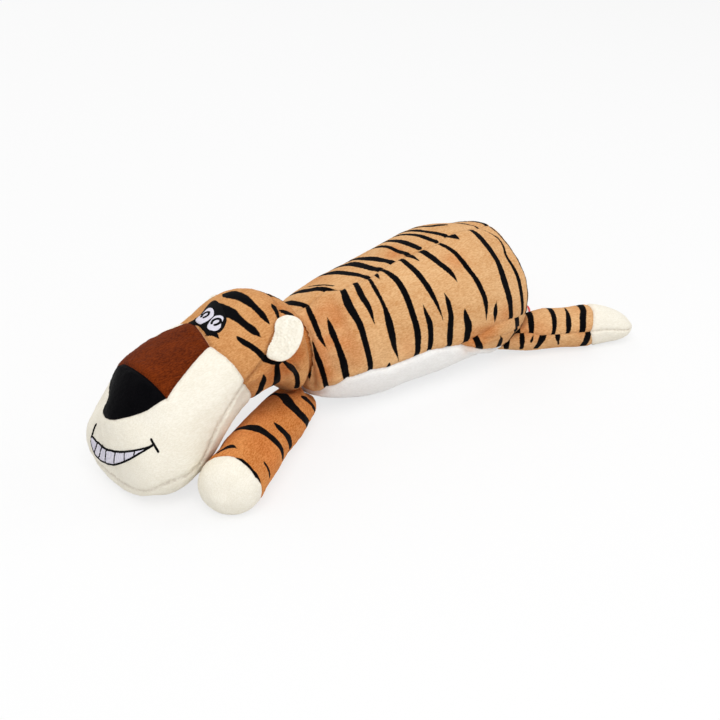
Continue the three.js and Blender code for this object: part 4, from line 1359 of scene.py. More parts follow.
    def zones(self, grid: SkinGrid) -> dict[str, Array]:
        """Signed distances over the skin to the edges of the head's panels, negative inside each.

        Args:
            grid: The head's cover.

        Returns:
            The distances by name, rings by sides.
        """
        across, up = grid.points[..., 1], grid.points[..., 2]
        size = np.array([HEAD.length, HEAD.height])
        corner = (self.corner,)
        side = grid.flat[:, [0, 2]].copy()
        high = smooth_step(side[:, 1] / HEAD.height, 0.72, 0.84)
        side[:, 0] += self.far_shift * np.clip(16 - grid.flat[:, 1], 0, 36) * high

        def seam(rows: Sequence) -> Array:
            """A seam's line in the side view."""
            return curve_through(np.array(rows) * size, 6)

        def gap(line: Array) -> Array:
            """Distance over the skin to a seam's line, seen from the side."""
            return grid.on_skin(grid.shaped(line_distance(side, line, None, 30)))

        front_line = np.vstack([seam(corner + self.throat_seam)[::-1], seam(corner + self.crown_seam)[1:]])
        pale = grid.on_skin(grid.shaped(side_of(side, front_line)))
        half_outline = curve_through(np.array(self.bridge_seam) * [HEAD.length, HEAD.width], 6)
        outline = np.vstack([half_outline, (half_outline * [1, -1] - [0, self.lopsided])[::-1]])
        bridge = grid.on_skin(grid.shaped(inside_of(grid.flat[:, [0, 1]], outline)))
        bridge = np.where(up > HEAD.height / 2, bridge, KEPT_SPAN)
        bow = self.nose_bow * np.maximum(1 - ((across - 5) / 26) ** 2, 0)
        top = self.nose_share * HEAD.length + bow
        ahead = grid.on_skin(top - grid.points[..., 0])
        nose_outline = np.array(self.nose_outline) * [HEAD.width, HEAD.height]
        nose = grid.on_skin(grid.shaped(inside_of(grid.flat[:, [1, 2]], nose_outline)))
        return {
            "pale": pale, "bridge": np.maximum(np.maximum(bridge, -ahead - 0.5), pale),
            "nose": np.maximum(nose, ahead), "crown_edge": gap(front_line),
            "back_edge": gap(seam(self.back_seam + corner)), "chin_edge": gap(seam(corner + self.chin_seam)),
        }


# ---------------------------------------------------------------- stitching


SUNK_DEPTH = 0.5


class CoverSkin:
    """The outside of a finished cover, for laying stitching on it."""

    def __init__(self, piece: bpy.types.Object) -> None:
        """Makes the search tree from the cover's faces, in millimetres in the toy's axes."""
        mesh = piece.data
        flat = np.empty(len(mesh.vertices) * 3, np.float32)
        mesh.vertices.foreach_get("co", flat)
        faces = [tuple(face.vertices) for face in mesh.polygons]
        self.tree = BVHTree.FromPolygons((flat.reshape(-1, 3) / MM).tolist(), faces)

    def lay(self, points: Array) -> tuple[Array, Array]:
        """The nearest places on the cover and its smoothed outward directions there.

        Args:
            points: Places near the cover in the head's axes, rows by columns by three.

        Returns:
            The places and the directions, both in the toy's axes.
        """
        found = [self.tree.find_nearest(Vector(place))[:2] for place in HEAD.to_toy(points).reshape(-1, 3)]
        place = np.array([hit[0] for hit in found]).reshape(points.shape)
        normal = np.array([hit[1] for hit in found]).reshape(points.shape)
        for _ in range(4):
            for axis in (0, 1):
                normal = (np.roll(normal, 1, axis) + 2 * normal + np.roll(normal, -1, axis)) / 4
        return place, normal / np.linalg.norm(normal, axis=-1, keepdims=True)


def stitched_island(
    skin: CoverSkin, outline: Sequence, height: float, rings: int = 9, sides: int = 64
) -> Array:
    """A raised island of satin stitching: a low dome over a closed outline, with its underside in the cloth.

    Args:
        skin: The cover that it lies on.
        outline: The outline in the head's axes, in millimetres.
        height: How far it stands out.
        rings: Rings of the dome.
        sides: Points round it.

    Returns:
        The island's grid in the toy's axes.
    """
    corners = np.array(outline, float)
    wrapped = np.vstack([corners[-2:], corners, corners[:3]])
    curve = curve_through(wrapped, 12)[24:-24]
    loop = evenly(curve, sides, closed=True)
    middle = loop.mean(0)
    share = np.sin(np.linspace(0, math.pi / 2, rings))[:, None, None]
    place, normal = skin.lay(middle + share * (loop - middle))
    turn = np.cross(loop - middle, np.roll(loop, -1, axis=0) - middle).sum(0)
    facing = HEAD.to_toy(turn[None])[0] - HEAD.to_toy(np.zeros((1, 3)))[0]
    top = place + normal * (0.12 + (height - 0.12) * np.sqrt(np.maximum(1 - share**8, 0)))
    grid = np.vstack([place - SUNK_DEPTH * normal, top[::-1]])
    return grid if facing @ normal.mean((0, 1)) > 0 else grid[:, ::-1]


def stitched_band(skin: CoverSkin, upper: Array, lower: Array, height: float, across: int = 10) -> Array:
    """A raised band of satin stitching between two lines that meet at both ends.

    Args:
        skin: The cover that it lies on.
        upper: The upper line in the head's axes, from the toy's right to its left.
        lower: The lower line, with as many points.
        height: How far it stands out.
        across: Points from line to line.

    Returns:
        The band's grid in the toy's axes.
    """
    share = np.linspace(0, 1, across)[None, :, None]
    place, normal = skin.lay(upper[:, None] + (lower - upper)[:, None] * share)
    top = place + normal * (0.1 + (height - 0.1) * np.sqrt(1 - np.abs(2 * share - 1) ** 6))
    return np.concatenate([top, (place - SUNK_DEPTH * normal)[:, ::-1]], axis=1)


def stitched_line(skin: CoverSkin, line: Array, half: float, height: float, lift: float = 0.0) -> Array:
    """A raised line of satin stitching: a flat rope half sunk in the cloth, with round ends.

    Args:
        skin: The cover that it lies on.
        line: The middle line in the head's axes.
        half: Half of its width.
        height: How far it stands out.
        lift: How far above the cover its middle runs.

    Returns:
        The line's grid in the toy's axes.
    """
    length = run_along(line)[-1]
    count = max(int(length / 0.7), 8)
    place, normal = [found[:, 0] for found in skin.lay(evenly(line, count)[:, None])]
    along = np.gradient(place, axis=0)
    along /= np.linalg.norm(along, axis=1, keepdims=True)
    beside = np.cross(normal, along)
    from_end = length / 2 - np.abs(np.linspace(-length / 2, length / 2, count))
    ends = np.sqrt(1 - (1 - from_end / half).clip(0, 1) ** 2)
    theta = even_turns(12)
    width = (half * ends)[:, None, None] * np.cos(theta)[:, None] * beside[:, None]
    rise = (height * ends)[:, None, None] * np.sin(theta)[:, None] * normal[:, None]
    return (place + normal * lift)[:, None] + width + rise


@dataclass
class Face:
    """The stitched face: a black patch with two pale eyes, and a grin of teeth between black lines."""

    patch: tuple = (
        (76.5, -20.1, 97.2), (66, -26, 98.5), (57, -25.5, 100.6), (51.5, -22.1, 102.6),
        (52.8, -15.2, 104.8), (57, -4, 105), (62.9, 7.1, 102.5), (63.9, 8.4, 102), (68.2, 11.2, 100.5),
        (73.6, 12.8, 98.5), (78, 10.8, 97.5), (81.6, 10.5, 96.5), (80.1, 1.1, 98), (79.1, -6.2, 98.5),
    )
    whites: tuple = (
        (
            (76.3, -13.8, 98.2), (71.6, -15.3, 99.3), (60.8, -18.7, 101.4), (59.5, -13.2, 103.6),
            (62.5, -6.8, 103.9), (67.2, -2, 102.8), (74.9, -2, 100.3), (78.4, -4.7, 99.1),
        ),
        (
            (66.9, -2.2, 102.8), (63.2, 0.7, 104), (63.2, 5, 103), (65.9, 7.1, 102), (67.5, 7.3, 101.5),
            (71.6, 10.7, 99.6), (76.3, 10.1, 98.2), (78.7, 6.2, 98.3), (77.7, 2.2, 99), (74.9, 0, 100.3),
        ),
    )
    pupils: tuple = ((68.9, -9.5, 101.6), (70.2, 4.2, 101.6))
    upper: tuple = (
        (167.1, -25, 33.2), (167.4, -24, 35.9), (169.1, -12.4, 35.9), (170.4, 1.5, 38.2),
        (168.6, 13.2, 41.6), (165.8, 25.8, 47.1), (160.3, 34.8, 51.2), (156.3, 37.4, 53.1),
    )
    lower: tuple = (
        (167.1, -25, 33.2), (166.9, -25.4, 30), (167, -22.3, 23.4), (167.8, -13.1, 20.7),
        (169.2, 2.1, 25.5), (169, 12.5, 31.9), (167.3, 22.9, 39.6), (164, 31.2, 47), (160.8, 34.7, 50.3),
        (156.3, 37.4, 53.1),
    )
    teeth: tuple = (
        (0.18, 0.135), (0.292, 0.213), (0.393, 0.315), (0.539, 0.494), (0.674, 0.663), (0.798, 0.798),
    )
    ticks: tuple = (((156.6, 34.5, 57.5), (154.7, 40.9, 47.4)), ((167.1, -20.6, 49.3), (167.4, -24.4, 36.8)))
    line_half: float = 0.85
    height: float = 0.7
    white_share: float = 0.93
    points: int = 90

    def build(self, shop: Workshop, cover: bpy.types.Object) -> None:
        """Lays the stitching on the head's cover.

        Args:
            shop: The workshop.
            cover: The finished head cover.
        """
        skin = CoverSkin(cover)
        black = ThreadFinish("black thread", (10, 9, 12), (3, 3, 4))
        pale = ThreadFinish("pale thread", (232, 229, 238), (204, 200, 216))
        patch = closed_mesh("eye_patch_stitching", [stitched_island(skin, self.patch, 0.55)])
        shop.finish(patch, black, "head", "black_thread", ("eye_patch",))
        for side, outline, centre in zip(("right", "left"), self.whites, self.pupils):
            corners = np.array(outline)
            corners = corners.mean(0) + (corners - corners.mean(0)) * self.white_share
            white = closed_mesh(f"{side}_eye_stitching", [stitched_island(skin, corners, 1.0)])
            shop.finish(white, pale, "head", "pale_thread", (f"{side}_eye_white",))
            turn = np.radians(np.linspace(15, 352, 30))
            ring = np.array(centre) + np.stack([3.7 * np.cos(turn), 2.6 * np.sin(turn), 0 * turn], -1)
            pupil = closed_mesh(f"{side}_pupil_stitching", [stitched_line(skin, ring, 1.0, 0.8, 0.9)])
            shop.finish(pupil, black, "head", "black_thread", (f"{side}_pupil",))
        upper, lower = [evenly(curve_through(rows, 16), self.points) for rows in (self.upper, self.lower)]
        band = closed_mesh("teeth_stitching", [stitched_band(skin, upper, lower, 0.5)])
        shop.finish(band, pale, "head", "pale_thread", ("teeth_patch",))
        lines = [upper, lower] + [np.array(tick, float) for tick in self.ticks]
        last = self.points - 1
        lines += [np.array([upper[int(a * last)], lower[int(b * last)]]) for a, b in self.teeth]
        cords = [stitched_line(skin, line, self.line_half, self.height) for line in lines]
        grin = closed_mesh("grin_stitching", cords)
        shop.finish(grin, black, "head", "black_thread", ("grin_line",))


# ---------------------------------------------------------------- ears and label


@dataclass
class Ear:
    """A round ear of two layers sewn at the rim: pale and curly in front, orange behind, a little cupped."""

    side: str
    turn: float
    rise: float
    reach: float = 21.8
    half: float = 18.4
    thick: float = 2.4
    room: float = 1.0
    push: float = 26.0
    rings: int = 90
    sides: int = 120

    def build(self, shop: Workshop) -> None:
        """Makes the ear's cover: a lens from its middle out to the rim, with its root on the head's seam."""
        sign = 1 if self.side == "left" else -1
        base, along, out, through = self.axes()
        lean = np.linspace(0, math.pi, self.rings)[:, None]
        theta = even_turns(self.sides)
        cosine = np.cos(theta)
        middle = 0.4 * self.reach
        outer = (self.reach - middle) * np.abs(cosine) ** 0.85
        far = np.where(cosine > 0, outer, -(middle + 4) * np.abs(cosine) ** 0.7)
        share = np.sin(lean)
        reach = middle + share * far
        width = share * self.half * np.sign(np.sin(theta)) * np.abs(np.sin(theta)) ** 0.9 - self.rise
        front = np.cos(lean) * np.ones_like(theta) > 0
        facing = np.where(front, 1.0, -1.0)
        dome = self.thick * np.maximum(1 - share**6, 0) ** 0.6
        cup = 1.6 * (reach / self.reach) ** 2 + 1.0 * ((width + self.rise) / self.half) ** 2
        height = facing * (dome + self.fuzz(reach, width, front)) + cup + 0.6
        skin = base + along * width[..., None] + out * reach[..., None] + through * height[..., None]
        skin = self.clear(skin, out) * [1, sign, 1]
        rim = (1 - share) * 14 * np.ones_like(theta)
        order = slice(None) if sign > 0 else slice(None, None, -1)
        values = {"face": np.where(front, -rim, rim)[:, order], "seam": rim[:, order] + 1.5}
        cover = closed_mesh(f"{self.side}_ear_cover", [HEAD.to_toy(skin)[:, order]], [values])
        finish = PlushFinish(
            f"{self.side} ear plush", RUST, (Zone("face", CREAM, "", 0.15, 0.3),), nap_turn=188,
            tufts=480, bump=0.8,
        )
        nodes = (f"{self.side}_ear_front", f"{self.side}_ear_back")
        shop.finish(cover, finish, f"{self.side}_ear", "cream_plush", nodes)

    def axes(self) -> tuple[Array, Array, Array, Array]:
        """The left ear's root, the direction along it, the direction out of the head and the way it faces."""
        base = np.array([0.275 * HEAD.length, 0.375 * HEAD.width, 0.82 * HEAD.height])
        along = np.array([0.096 * HEAD.length, 0.066 * HEAD.width, -0.113 * HEAD.height])
        along /= np.linalg.norm(along)
        out = np.array([-0.62, 0.78, 0.06])
        out -= along * (out @ along)
        out /= np.linalg.norm(out)
        through = np.cross(along, out)
        fold = math.radians(self.turn)
        turned = out * math.cos(fold) - through * math.sin(fold)
        return base, along, turned, np.cross(along, turned)

    def clear(self, skin: Array, out: Array) -> Array:
        """The ear with every point that is too near the head moved outwards until it is clear."""
        flat = skin.reshape(-1, 3)
        still = np.zeros(len(flat))

        def near(away: Array) -> Array:
            """Whether points moved outwards are too near the head."""
            return HEAD.clearance(flat + out * away[:, None]) < self.room

        moved = np.where(near(still), halved(still, still + self.push, near, 16)[1], 0)
        return (flat + out * moved[:, None]).reshape(skin.shape)

    @staticmethod
    def fuzz(reach: Array, width: Array, front: Array) -> Array:
        """Curly tufts on the front and short pile behind, in millimetres."""
        flat = np.stack([reach.ravel(), width.ravel(), 0 * reach.ravel()], -1)
        curl = (ripple(flat, 2.6, 71, 24) * 0.26 + ripple(flat, 8, 72, 12) * 0.3).reshape(reach.shape)
        return np.where(front, curl, curl * 0.35)


@dataclass
class Label:
    """A small bare tab sewn into the belly seam, with a thin coloured edge."""

    length: float = 12.0
    width: float = 11.0
    thick: float = 0.8
    turn: float = -32.0
    centre: tuple[float, float, float] = (144.8, -39.1, 34.8)

    def build(self, shop: Workshop) -> None:
        """Makes the tab: flat rounded sections along its length, drooping a little at its end."""
        place = np.linspace(-1, 1, 40)[:, None]
        theta = even_turns(48)
        full = np.clip(1 - np.abs(place) ** 10, 0, 1) ** 0.5
        across = np.sign(np.cos(theta)) * np.abs(np.cos(theta)) ** 0.35 * self.width / 2 * full
        rise = np.sin(theta) * self.thick / 2 * full
        along = (place * self.length / 2 + self.length / 2 - 4) * np.ones_like(theta)
        drop = -0.012 * np.maximum(along, 0) ** 2
        cosine, sine = math.cos(math.radians(self.turn)), math.sin(math.radians(self.turn))
        points = np.stack([along * cosine - across * sine, along * sine + across * cosine, rise + drop], -1)
        edge = self.length - 4 - along - 2.2
        tab = closed_mesh("label_tab", [points + self.centre], [{"edge": edge}])
        shop.finish(tab, TapeFinish("label tape"), "torso", "label_tape", ("sewn_label",))


# ---------------------------------------------------------------- limbs


def ball_clearance(points: Array) -> Array:
    """Distance of points in the toy's axes to the neck's ball."""
    return np.linalg.norm(points - NECK_CENTRE, axis=1) - NECK_RADIUS


def head_clearance(points: Array) -> Array:
    """Distance of points in the toy's axes to the head, as it lies and turned to its other side."""
    return np.minimum(HEAD.clearance(HEAD.to_own(points)), HEAD.clearance(HEAD.to_own(points * [1, -1, 1])))


class Lie(Enum):
    """How a limb lies: a foreleg forwards or back along the flank, or a hind leg."""

    FORWARDS = "forwards"
    BACK = "back"
    HIND = "hind"


@dataclass
class Limb:
    """A stuffed limb sewn of an upper and a lower cloth, with a pale end."""

    name: str
    form: StuffedForm
    seam: tuple
    cuff: tuple
    strokes: tuple
    lower_strokes: tuple
    # Painted shade spots in folds and shaded places.
    shade_spots: tuple
    ground: Cloth
    slot: str
    body: str
    nodes: tuple
    swing: tuple[float, float]
    pivot: float
    seed: int
    gap: float = 0.9
    lie: Lie = Lie.HIND
    folds: tuple = ()
    seam_end: float = 0.95
    droop: float = 0.0
    rings: int = 200
    sides: int = 210
    cap: int = 22

    def keep_out(self, points: Array) -> Array:
        """Room left round points of the limb while it swings: to the torso, for a foreleg also to the neck
        and the toy's middle, and for one that lies back also to the head.

        Args:
            points: Places in the limb's own axes, one row each.

        Returns:
            The smallest of these distances over the swing, less the gap.
        """
        room = np.full(len(points), 1e9)
        for turn in np.radians(np.linspace(*self.swing, 6)):
            cosine, sine = math.cos(turn), math.sin(turn)
            along, across = points[:, 0] - self.pivot, points[:, 1]
            ahead, aside = along * cosine - across * sine, along * sine + across * cosine
            toy = self.form.to_toy(np.stack([ahead + self.pivot, aside, points[:, 2]], -1))
            room = np.minimum(room, BODY.clearance(BODY.to_own(toy)))
            if self.lie is not Lie.HIND:
                to_middle = toy[:, 1] * np.sign(self.form.start[1])
                room = np.minimum(room, np.minimum(ball_clearance(toy), to_middle))
            if self.lie is Lie.BACK:
                room = np.minimum(room, head_clearance(toy) - HEAD_GAP)
        return room - self.gap

    def build(self, shop: Workshop) -> None:
        """Makes the limb's cover: its skin from where it is clear of the torso to its tip, and a root that
        follows the torso."""
        theta = even_turns(self.sides)
        blocked = self.blocked(theta)
        table = self.form.even_shares(2000)
        even = np.linspace(0, 1, len(table))
        start = np.interp(blocked, table, even)
        run = start + (1 - start) * np.linspace(0, 1, self.rings - self.cap)[:, None]
        share = np.interp(run, even, table)
        side = self.form.skin(share, np.broadcast_to(theta, share.shape))
        cap = self.root(side[0])
        middle = side[0, :, 1:].mean(0)
        drawn_in = 0.05 if self.lie is Lie.HIND else 0.2
        away = (side[..., 0] - side[0, :, 0]).clip(0, None)
        side[..., 1:] = middle + (side[..., 1:] - middle) * (1 - drawn_in * np.exp(-away / 5))[..., None]
        cap[..., 1:] = middle + (cap[..., 1:] - middle) * (1 - drawn_in)
        whole = np.vstack([np.broadcast_to(blocked, cap.shape[:2]), share])
        grid = SkinGrid(np.vstack([cap, side]), whole, np.broadcast_to(theta, whole.shape))
        self.dress(shop, grid)

    def blocked(self, theta: Array) -> Array:
        """The share along up to which the torso leaves no room for the limb, at each angle round it."""
        share, turn = np.meshgrid(np.linspace(0.01, 0.75, 90), theta, indexing="ij")
        room = self.keep_out(self.form.skin(share, turn).reshape(-1, 3)).reshape(share.shape)
        blocked = np.where(room < 0, share, 0.02).max(0)
        for _ in range(6):
            blocked = (np.roll(blocked, 1) + 2 * blocked + np.roll(blocked, -1)) / 4
        return blocked

    def root(self, rim: Array) -> Array:
        """The end of the limb at the torso: rings from the rim's middle, each place as near to the torso as
        there is room.

        Args:
            rim: The first ring of the limb's side.

        Returns:
            The rings from the middle outwards, without the rim.
        """
        middle = rim.mean(0)
        cap = middle + (rim - middle) * np.linspace(0, 1, self.cap + 1)[:-1, None, None]
        flat = cap.reshape(-1, 3)
        last = rim[:, 0].max()

        def inside(along: Array) -> Array:
            """Whether places at these lengths have no room."""
            return self.keep_out(np.stack([along, flat[:, 1], flat[:, 2]], -1)) < 0

        still = np.zeros(len(flat))
        found = halved(still - 30, still + last + 30, inside, 22)[1].reshape(cap.shape[:2])
        found = np.maximum(found, rim[:, 0].min())
        cap[..., 0] = np.where(found > last + 20, cap[..., 0], found)
        return cap

    def dress(self, shop: Workshop, grid: SkinGrid) -> None:
        """Adds the seams, stripes and stuffing to the limb's skin and hands the cover over."""
        turn, share = np.degrees(grid.theta), grid.share
        long_seam = grid.on_skin(turn_at(self.seam, share) - folded(turn), LEAST_SLOPE)
        long_gap = np.abs(long_seam) + 30 * smooth_step(share, self.seam_end, self.seam_end + 0.05)
        cuff = np.array(self.cuff)
        cuff_share = np.interp(turn, cuff[:, 1], cuff[:, 0], period=360)
        paw = grid.on_skin((cuff_share - share) * self.form.length)
        calm = smooth_step(share - share[0], 0.0, 0.06)
        height = fold_relief(grid, self.form, self.folds)
        height += seam_relief(grid, long_gap, self.seed + 1, 0.9, 1.3, 0.3)
        height += seam_relief(grid, paw, self.seed + 2, 0.8, 1.3, 0.3)
        height = height * calm + swell(grid, self.seed, 0.5, 34) * np.maximum(calm, 0.1)
        height[: self.cap] = np.minimum(height[: self.cap], 0)
        values = {
            "stripe": stripes(grid, self.form, self.strokes, 5),
            "lower_stripe": stripes(grid, self.form, self.lower_strokes, 5),
            "above": -long_seam, "below": long_seam, "paw": paw,
            "seam": np.minimum(long_gap, np.abs(paw)), "painted_shade": painted_shade(grid, self.form, self.shade_spots),
        }
        points = rounded_tip(raised(grid, height))
        points[..., 2] *= 1 - self.droop * smooth_step(share, 0.72, 1.0)
        if self.lie is Lie.FORWARDS:
            self.scoop(points)
        cover = closed_mesh(self.name, [self.form.to_toy(points)], [values])
        lower = (Zone("lower_stripe", BLACK, "below"),) if self.lower_strokes else ()
        finish = PlushFinish(
            self.name.replace("_", " ") + " plush", self.ground,
            (Zone("stripe", BLACK, "above" if lower else ""), *lower, Zone("paw", CREAM, "", 0.1, 0.25)),
            nap_turn=self.form.turn, painted_shade=True,
        )
        shop.finish(cover, finish, self.body, self.slot, self.nodes, 0.7)

    def scoop(self, points: Array) -> None:
        """Presses the limb down under the cheek: points too near the head sink until they are clear."""
        flat = points.reshape(-1, 3)

        def clear(places: Array) -> Array:
            """Whether the head is far enough."""
            return head_clearance(self.form.to_toy(places)) >= CHEEK_GAP

        hit = np.flatnonzero(~clear(flat))
        if not len(hit):
            return

        def sunk(up: Array) -> Array:
            """Whether the points that were too near are clear at these heights."""
            return clear(np.stack([flat[hit, 0], flat[hit, 1], up], -1))

        low = halved(np.zeros(len(hit)), flat[hit, 2].copy(), sunk, 18)[0]
        flat[hit, 2] = np.maximum(low, FLOOR_GAP)


# Painted shade spots on the forelegs: share, angle in degrees, radius in millimetres and strength.
ARM_SHADE_SPOTS = (
    (0.45, 100, 10, 0.2), (0.65, 70, 12, 0.25), (0.55, 150, 14, 0.35), (0.7, 20, 10, 0.3),
)
# Painted shade spots on the hind legs.
LEG_SHADE_SPOTS = (
    (0.2, 140, 10, 0.5), (0.1, 110, 9, 0.5), (0.33, 150, 8, 0.35), (0.62, 80, 8, 0.25), (0.6, 172, 7, 0.3),
)
ARM_CUFF = (
    (0.823, 112), (0.823, 87), (0.842, 67), (0.851, 47), (0.856, 31), (0.836, 5), (0.83, -60), (0.83, -120),
    (0.825, 160),
)
LEG_CUFF = (
    (0.69, 60), (0.696, 101), (0.683, 127), (0.669, 150), (0.65, 175), (0.67, 205), (0.69, 260),
    (0.69, 320),
)
LEFT_ARM_STROKES = (
    (
        (0.224, 147, 3), (0.203, 113, 4), (0.25, 86, 4.4), (0.289, 68, 4.9), (0.315, 38, 4.6),
        (0.3, 10, 3.6), (0.277, -11, 3),
    ),
    ((0.182, 63, 0), (0.176, 49, 3.7), (0.174, 25, 3)),
    ((0.488, 70, 0), (0.5, 52, 2.8), (0.5, 32, 3.1), (0.495, 14, 3.7), (0.488, -8, 3)),
    (
        (0.578, 120, 3), (0.578, 93, 4.7), (0.591, 65, 3.4), (0.598, 40, 3.2), (0.596, 19, 2.7),
        (0.596, 3, 2.4), (0.59, -20, 0),
    ),
    ((0.766, 116, 2.2), (0.752, 107, 2.6), (0.764, 90, 0)),
    ((0.823, 87, 0), (0.838, 72, 2.3), (0.847, 57, 2.4), (0.852, 40, 2), (0.847, 15, 1.6)),
    ((0.75, 17, 1.3), (0.75, 10, 1.3)),
)
LEFT_LEG_STROKES = (
    ((0.178, 10, 0), (0.184, 50, 2.2), (0.186, 86, 2.4), (0.171, 117, 2.4), (0.164, 142, 2.2)),
    ((0.268, 2, 0), (0.275, 50, 2.6), (0.275, 91, 2.4), (0.263, 117, 2.4), (0.246, 152, 2.0)),
    ((0.41, 12, 0), (0.414, 60, 2.2), (0.416, 112, 2.2), (0.393, 164, 1.6)),
    ((0.53, 60, 0), (0.523, 96, 1.4), (0.508, 133, 2.4), (0.493, 166, 1.8)),
    ((0.63, 4, 0), (0.636, 50, 2.6), (0.635, 93, 2.6), (0.611, 124, 2.8), (0.59, 168, 2.6)),
)
LEFT_LEG_LOWER_STROKES = (
    ((0.09, 140, 2.8), (0.084, 160, 3.2), (0.086, 186, 2.4)),
    ((0.19, 138, 1.8), (0.186, 165, 2.2), (0.186, 188, 1.8)),
    ((0.262, 152, 0), (0.248, 172, 1.2), (0.243, 184, 0)),
    ((0.332, 158, 2.6), (0.318, 172, 3), (0.3, 192, 2.4)),
    ((0.426, 164, 2.0), (0.424, 176, 2.2), (0.43, 190, 1)),
    ((0.642, 168, 2.8), (0.63, 181, 3), (0.62, 204, 3)),
)


def foreleg(side: str) -> Limb:
    """A foreleg: the left one lies forwards under the cheek, the right one back along the flank."""
    left = side == "left"
    parts = ("sleeve_upper", "sleeve_lower", "paw_upper", "paw_lower", "arm_fill")
    start, turn = ((-50.55, -7.5), 214.0) if left else ((-54.55, 24.0), 26.4)
    return Limb(
        f"{side}_arm_cover", StuffedForm(ARM_ROWS, 165, 44, 38, start, turn), ARM_SEAM,
        ARM_CUFF if left else mirrored(ARM_CUFF),
        LEFT_ARM_STROKES if left else mirrored_strokes(LEFT_ARM_STROKES), (), ARM_SHADE_SPOTS,
        RUST, "deep_orange_plush", f"{side}_arm", tuple(f"{side}_{part}" for part in parts),
        (0, 30) if left else (0, 40), 16, 52 if left else 50, lie=Lie.FORWARDS if left else Lie.BACK,
        seam_end=0.7,
    )


def hind_leg(side: str) -> Limb:
    """A hind leg stretched out behind."""
    left = side == "left"
    sign = 1 if left else -1
    parts = ("leg_cloth_upper", "leg_cloth_lower", "foot_upper", "foot_lower", "leg_fill")
    return Limb(
        f"{side}_leg_cover", StuffedForm(LEG_ROWS, 127, 36, 32, (115.45, -34.0 * sign), -24.0 * sign),
        LEG_SEAM, LEG_CUFF if left else mirrored(LEG_CUFF),
        LEFT_LEG_STROKES if left else mirrored_strokes(LEFT_LEG_STROKES),
        LEFT_LEG_LOWER_STROKES if left else mirrored_strokes(LEFT_LEG_LOWER_STROKES), LEG_SHADE_SPOTS,
        TAN, "orange_plush", f"{side}_hind_leg", tuple(f"{side}_{part}" for part in parts),
        (0, -22 * sign), 8, 61 + sign,
        folds=(Fold(((0.2, 90), (0.36, 90)), -2.8, 13.0),), droop=0.24,
    )


# ---------------------------------------------------------------- studio


@dataclass(frozen=True)
class Lamp:
    """A soft square lamp: where it stands, what it points at, its side and its power."""

    place: tuple[float, float, float]
    side: float
    power: float
    aim: tuple[float, float, float] = (0.0, 0.0, 0.05)


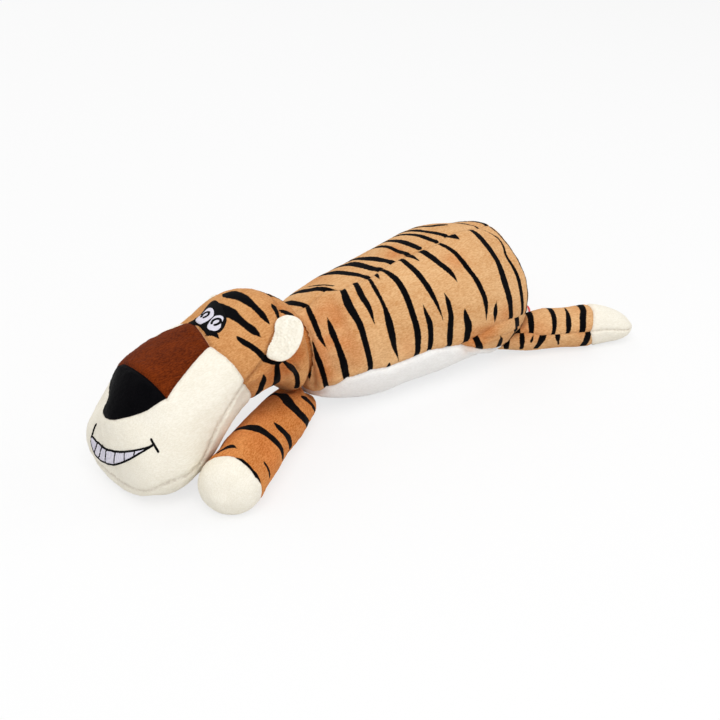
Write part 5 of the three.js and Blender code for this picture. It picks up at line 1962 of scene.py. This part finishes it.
@dataclass
class Studio:
    """The pale floor, the soft lamps and the camera of the photograph."""

    azimuth: float = -37.0
    rise: float = 29.0
    distance: float = 1.15
    target: tuple[float, float, float] = (0.02345, 0.0, 0.045)
    lens: float = 72.0
    shift: tuple[float, float] = (-15 / 720, -38 / 720)
    lamps: tuple[Lamp, ...] = (
        Lamp((-0.55, -0.75, 1.9), 1.5, 22.0),
        Lamp((-0.7, -1.1, 0.55), 0.9, 1.2),
        Lamp((1.2, -0.7, 1.0), 1.4, 5.0),
        Lamp((0.1, 1.2, 1.3), 1.6, 7.0),
    )
    world: float = 0.5
    floor_glow: float = 0.72
    floor_side: float = 3.0

    def build(self) -> None:
        """Makes the camera, lamps, world and floor."""
        scene = bpy.context.scene
        scene.view_settings.view_transform = "Standard"
        a, e = math.radians(self.azimuth), math.radians(self.rise)
        away = Vector((math.sin(a) * math.cos(e), -math.cos(a) * math.cos(e), math.sin(e)))
        lens = bpy.data.cameras.new("camera")
        lens.lens, lens.sensor_width = self.lens, 36.0
        lens.shift_x, lens.shift_y = self.shift
        lens.clip_start = 0.01
        camera = bpy.data.objects.new("camera", lens)
        camera.location = Vector(self.target) + away * self.distance
        camera.rotation_euler = (-away).to_track_quat("-Z", "Y").to_euler()
        scene.collection.objects.link(camera)
        scene.camera = camera
        for number, lamp in enumerate(self.lamps):
            light = bpy.data.lights.new(f"lamp_{number}", "AREA")
            light.energy, light.size = lamp.power, lamp.side
            stand = bpy.data.objects.new(light.name, light)
            stand.location = lamp.place
            stand.rotation_euler = (Vector(lamp.aim) - Vector(lamp.place)).to_track_quat("-Z", "Y").to_euler()
            scene.collection.objects.link(stand)
        self.sky(scene)
        self.floor(scene)

    def sky(self, scene: bpy.types.Scene) -> None:
        """A plain pale world that looks white to the camera."""
        world = bpy.data.worlds.new("studio")
        world.use_nodes = True
        scene.world = world
        sheet = NodeSheet(world.node_tree)
        world.node_tree.nodes.clear()
        seen = sheet.add("ShaderNodeLightPath").outputs["Is Camera Ray"]
        power = sheet.maths("ADD", sheet.maths("MULTIPLY", seen, 1 - self.world), self.world)
        ground = sheet.fill(sheet.add("ShaderNodeBackground"), Color=(1.0, 1.0, 1.0, 1.0), Strength=power)
        sheet.fill(sheet.add("ShaderNodeOutputWorld"), Surface=ground.outputs[0])

    def floor(self, scene: bpy.types.Scene) -> None:
        """A pale floor that keeps a faint shadow and is otherwise white to the camera."""
        side = self.floor_side
        mesh = bpy.data.meshes.new("floor")
        corners = [(-side, -side, 0), (side, -side, 0), (side, side, 0), (-side, side, 0)]
        mesh.from_pydata(corners, [], [(0, 1, 2, 3)])
        floor = bpy.data.objects.new("floor", mesh)
        scene.collection.objects.link(floor)
        material, sheet = blank_material("pale floor")
        matt = sheet.fill(sheet.add("ShaderNodeBsdfDiffuse"), Color=(0.86, 0.86, 0.86, 1.0))
        glow = sheet.fill(sheet.add("ShaderNodeEmission"), Strength=1.0)
        seen = sheet.add("ShaderNodeLightPath").outputs["Is Camera Ray"]
        blend = sheet.add("ShaderNodeMixShader")
        parts = (sheet.maths("MULTIPLY", seen, self.floor_glow), matt.outputs[0], glow.outputs[0])
        for socket, part in zip(blend.inputs, parts):
            sheet.feed(socket, part)
        sheet.fill(sheet.add("ShaderNodeOutputMaterial"), Surface=blend.outputs[0])
        mesh.materials.append(material)


def main() -> None:
    """Builds the tiger piece by piece and sets up the studio."""
    logging.basicConfig(level=logging.INFO, format="%(message)s")
    shop = Workshop()
    limbs = [make(side) for make in (foreleg, hind_leg) for side in ("left", "right")]
    for part in (Torso(), Neck(), Head(), *limbs):
        part.build(shop)
        LOG.info("built %s", getattr(part, "name", type(part).__name__.lower()))
    Studio().build()


if __name__ == "__main__":
    main()
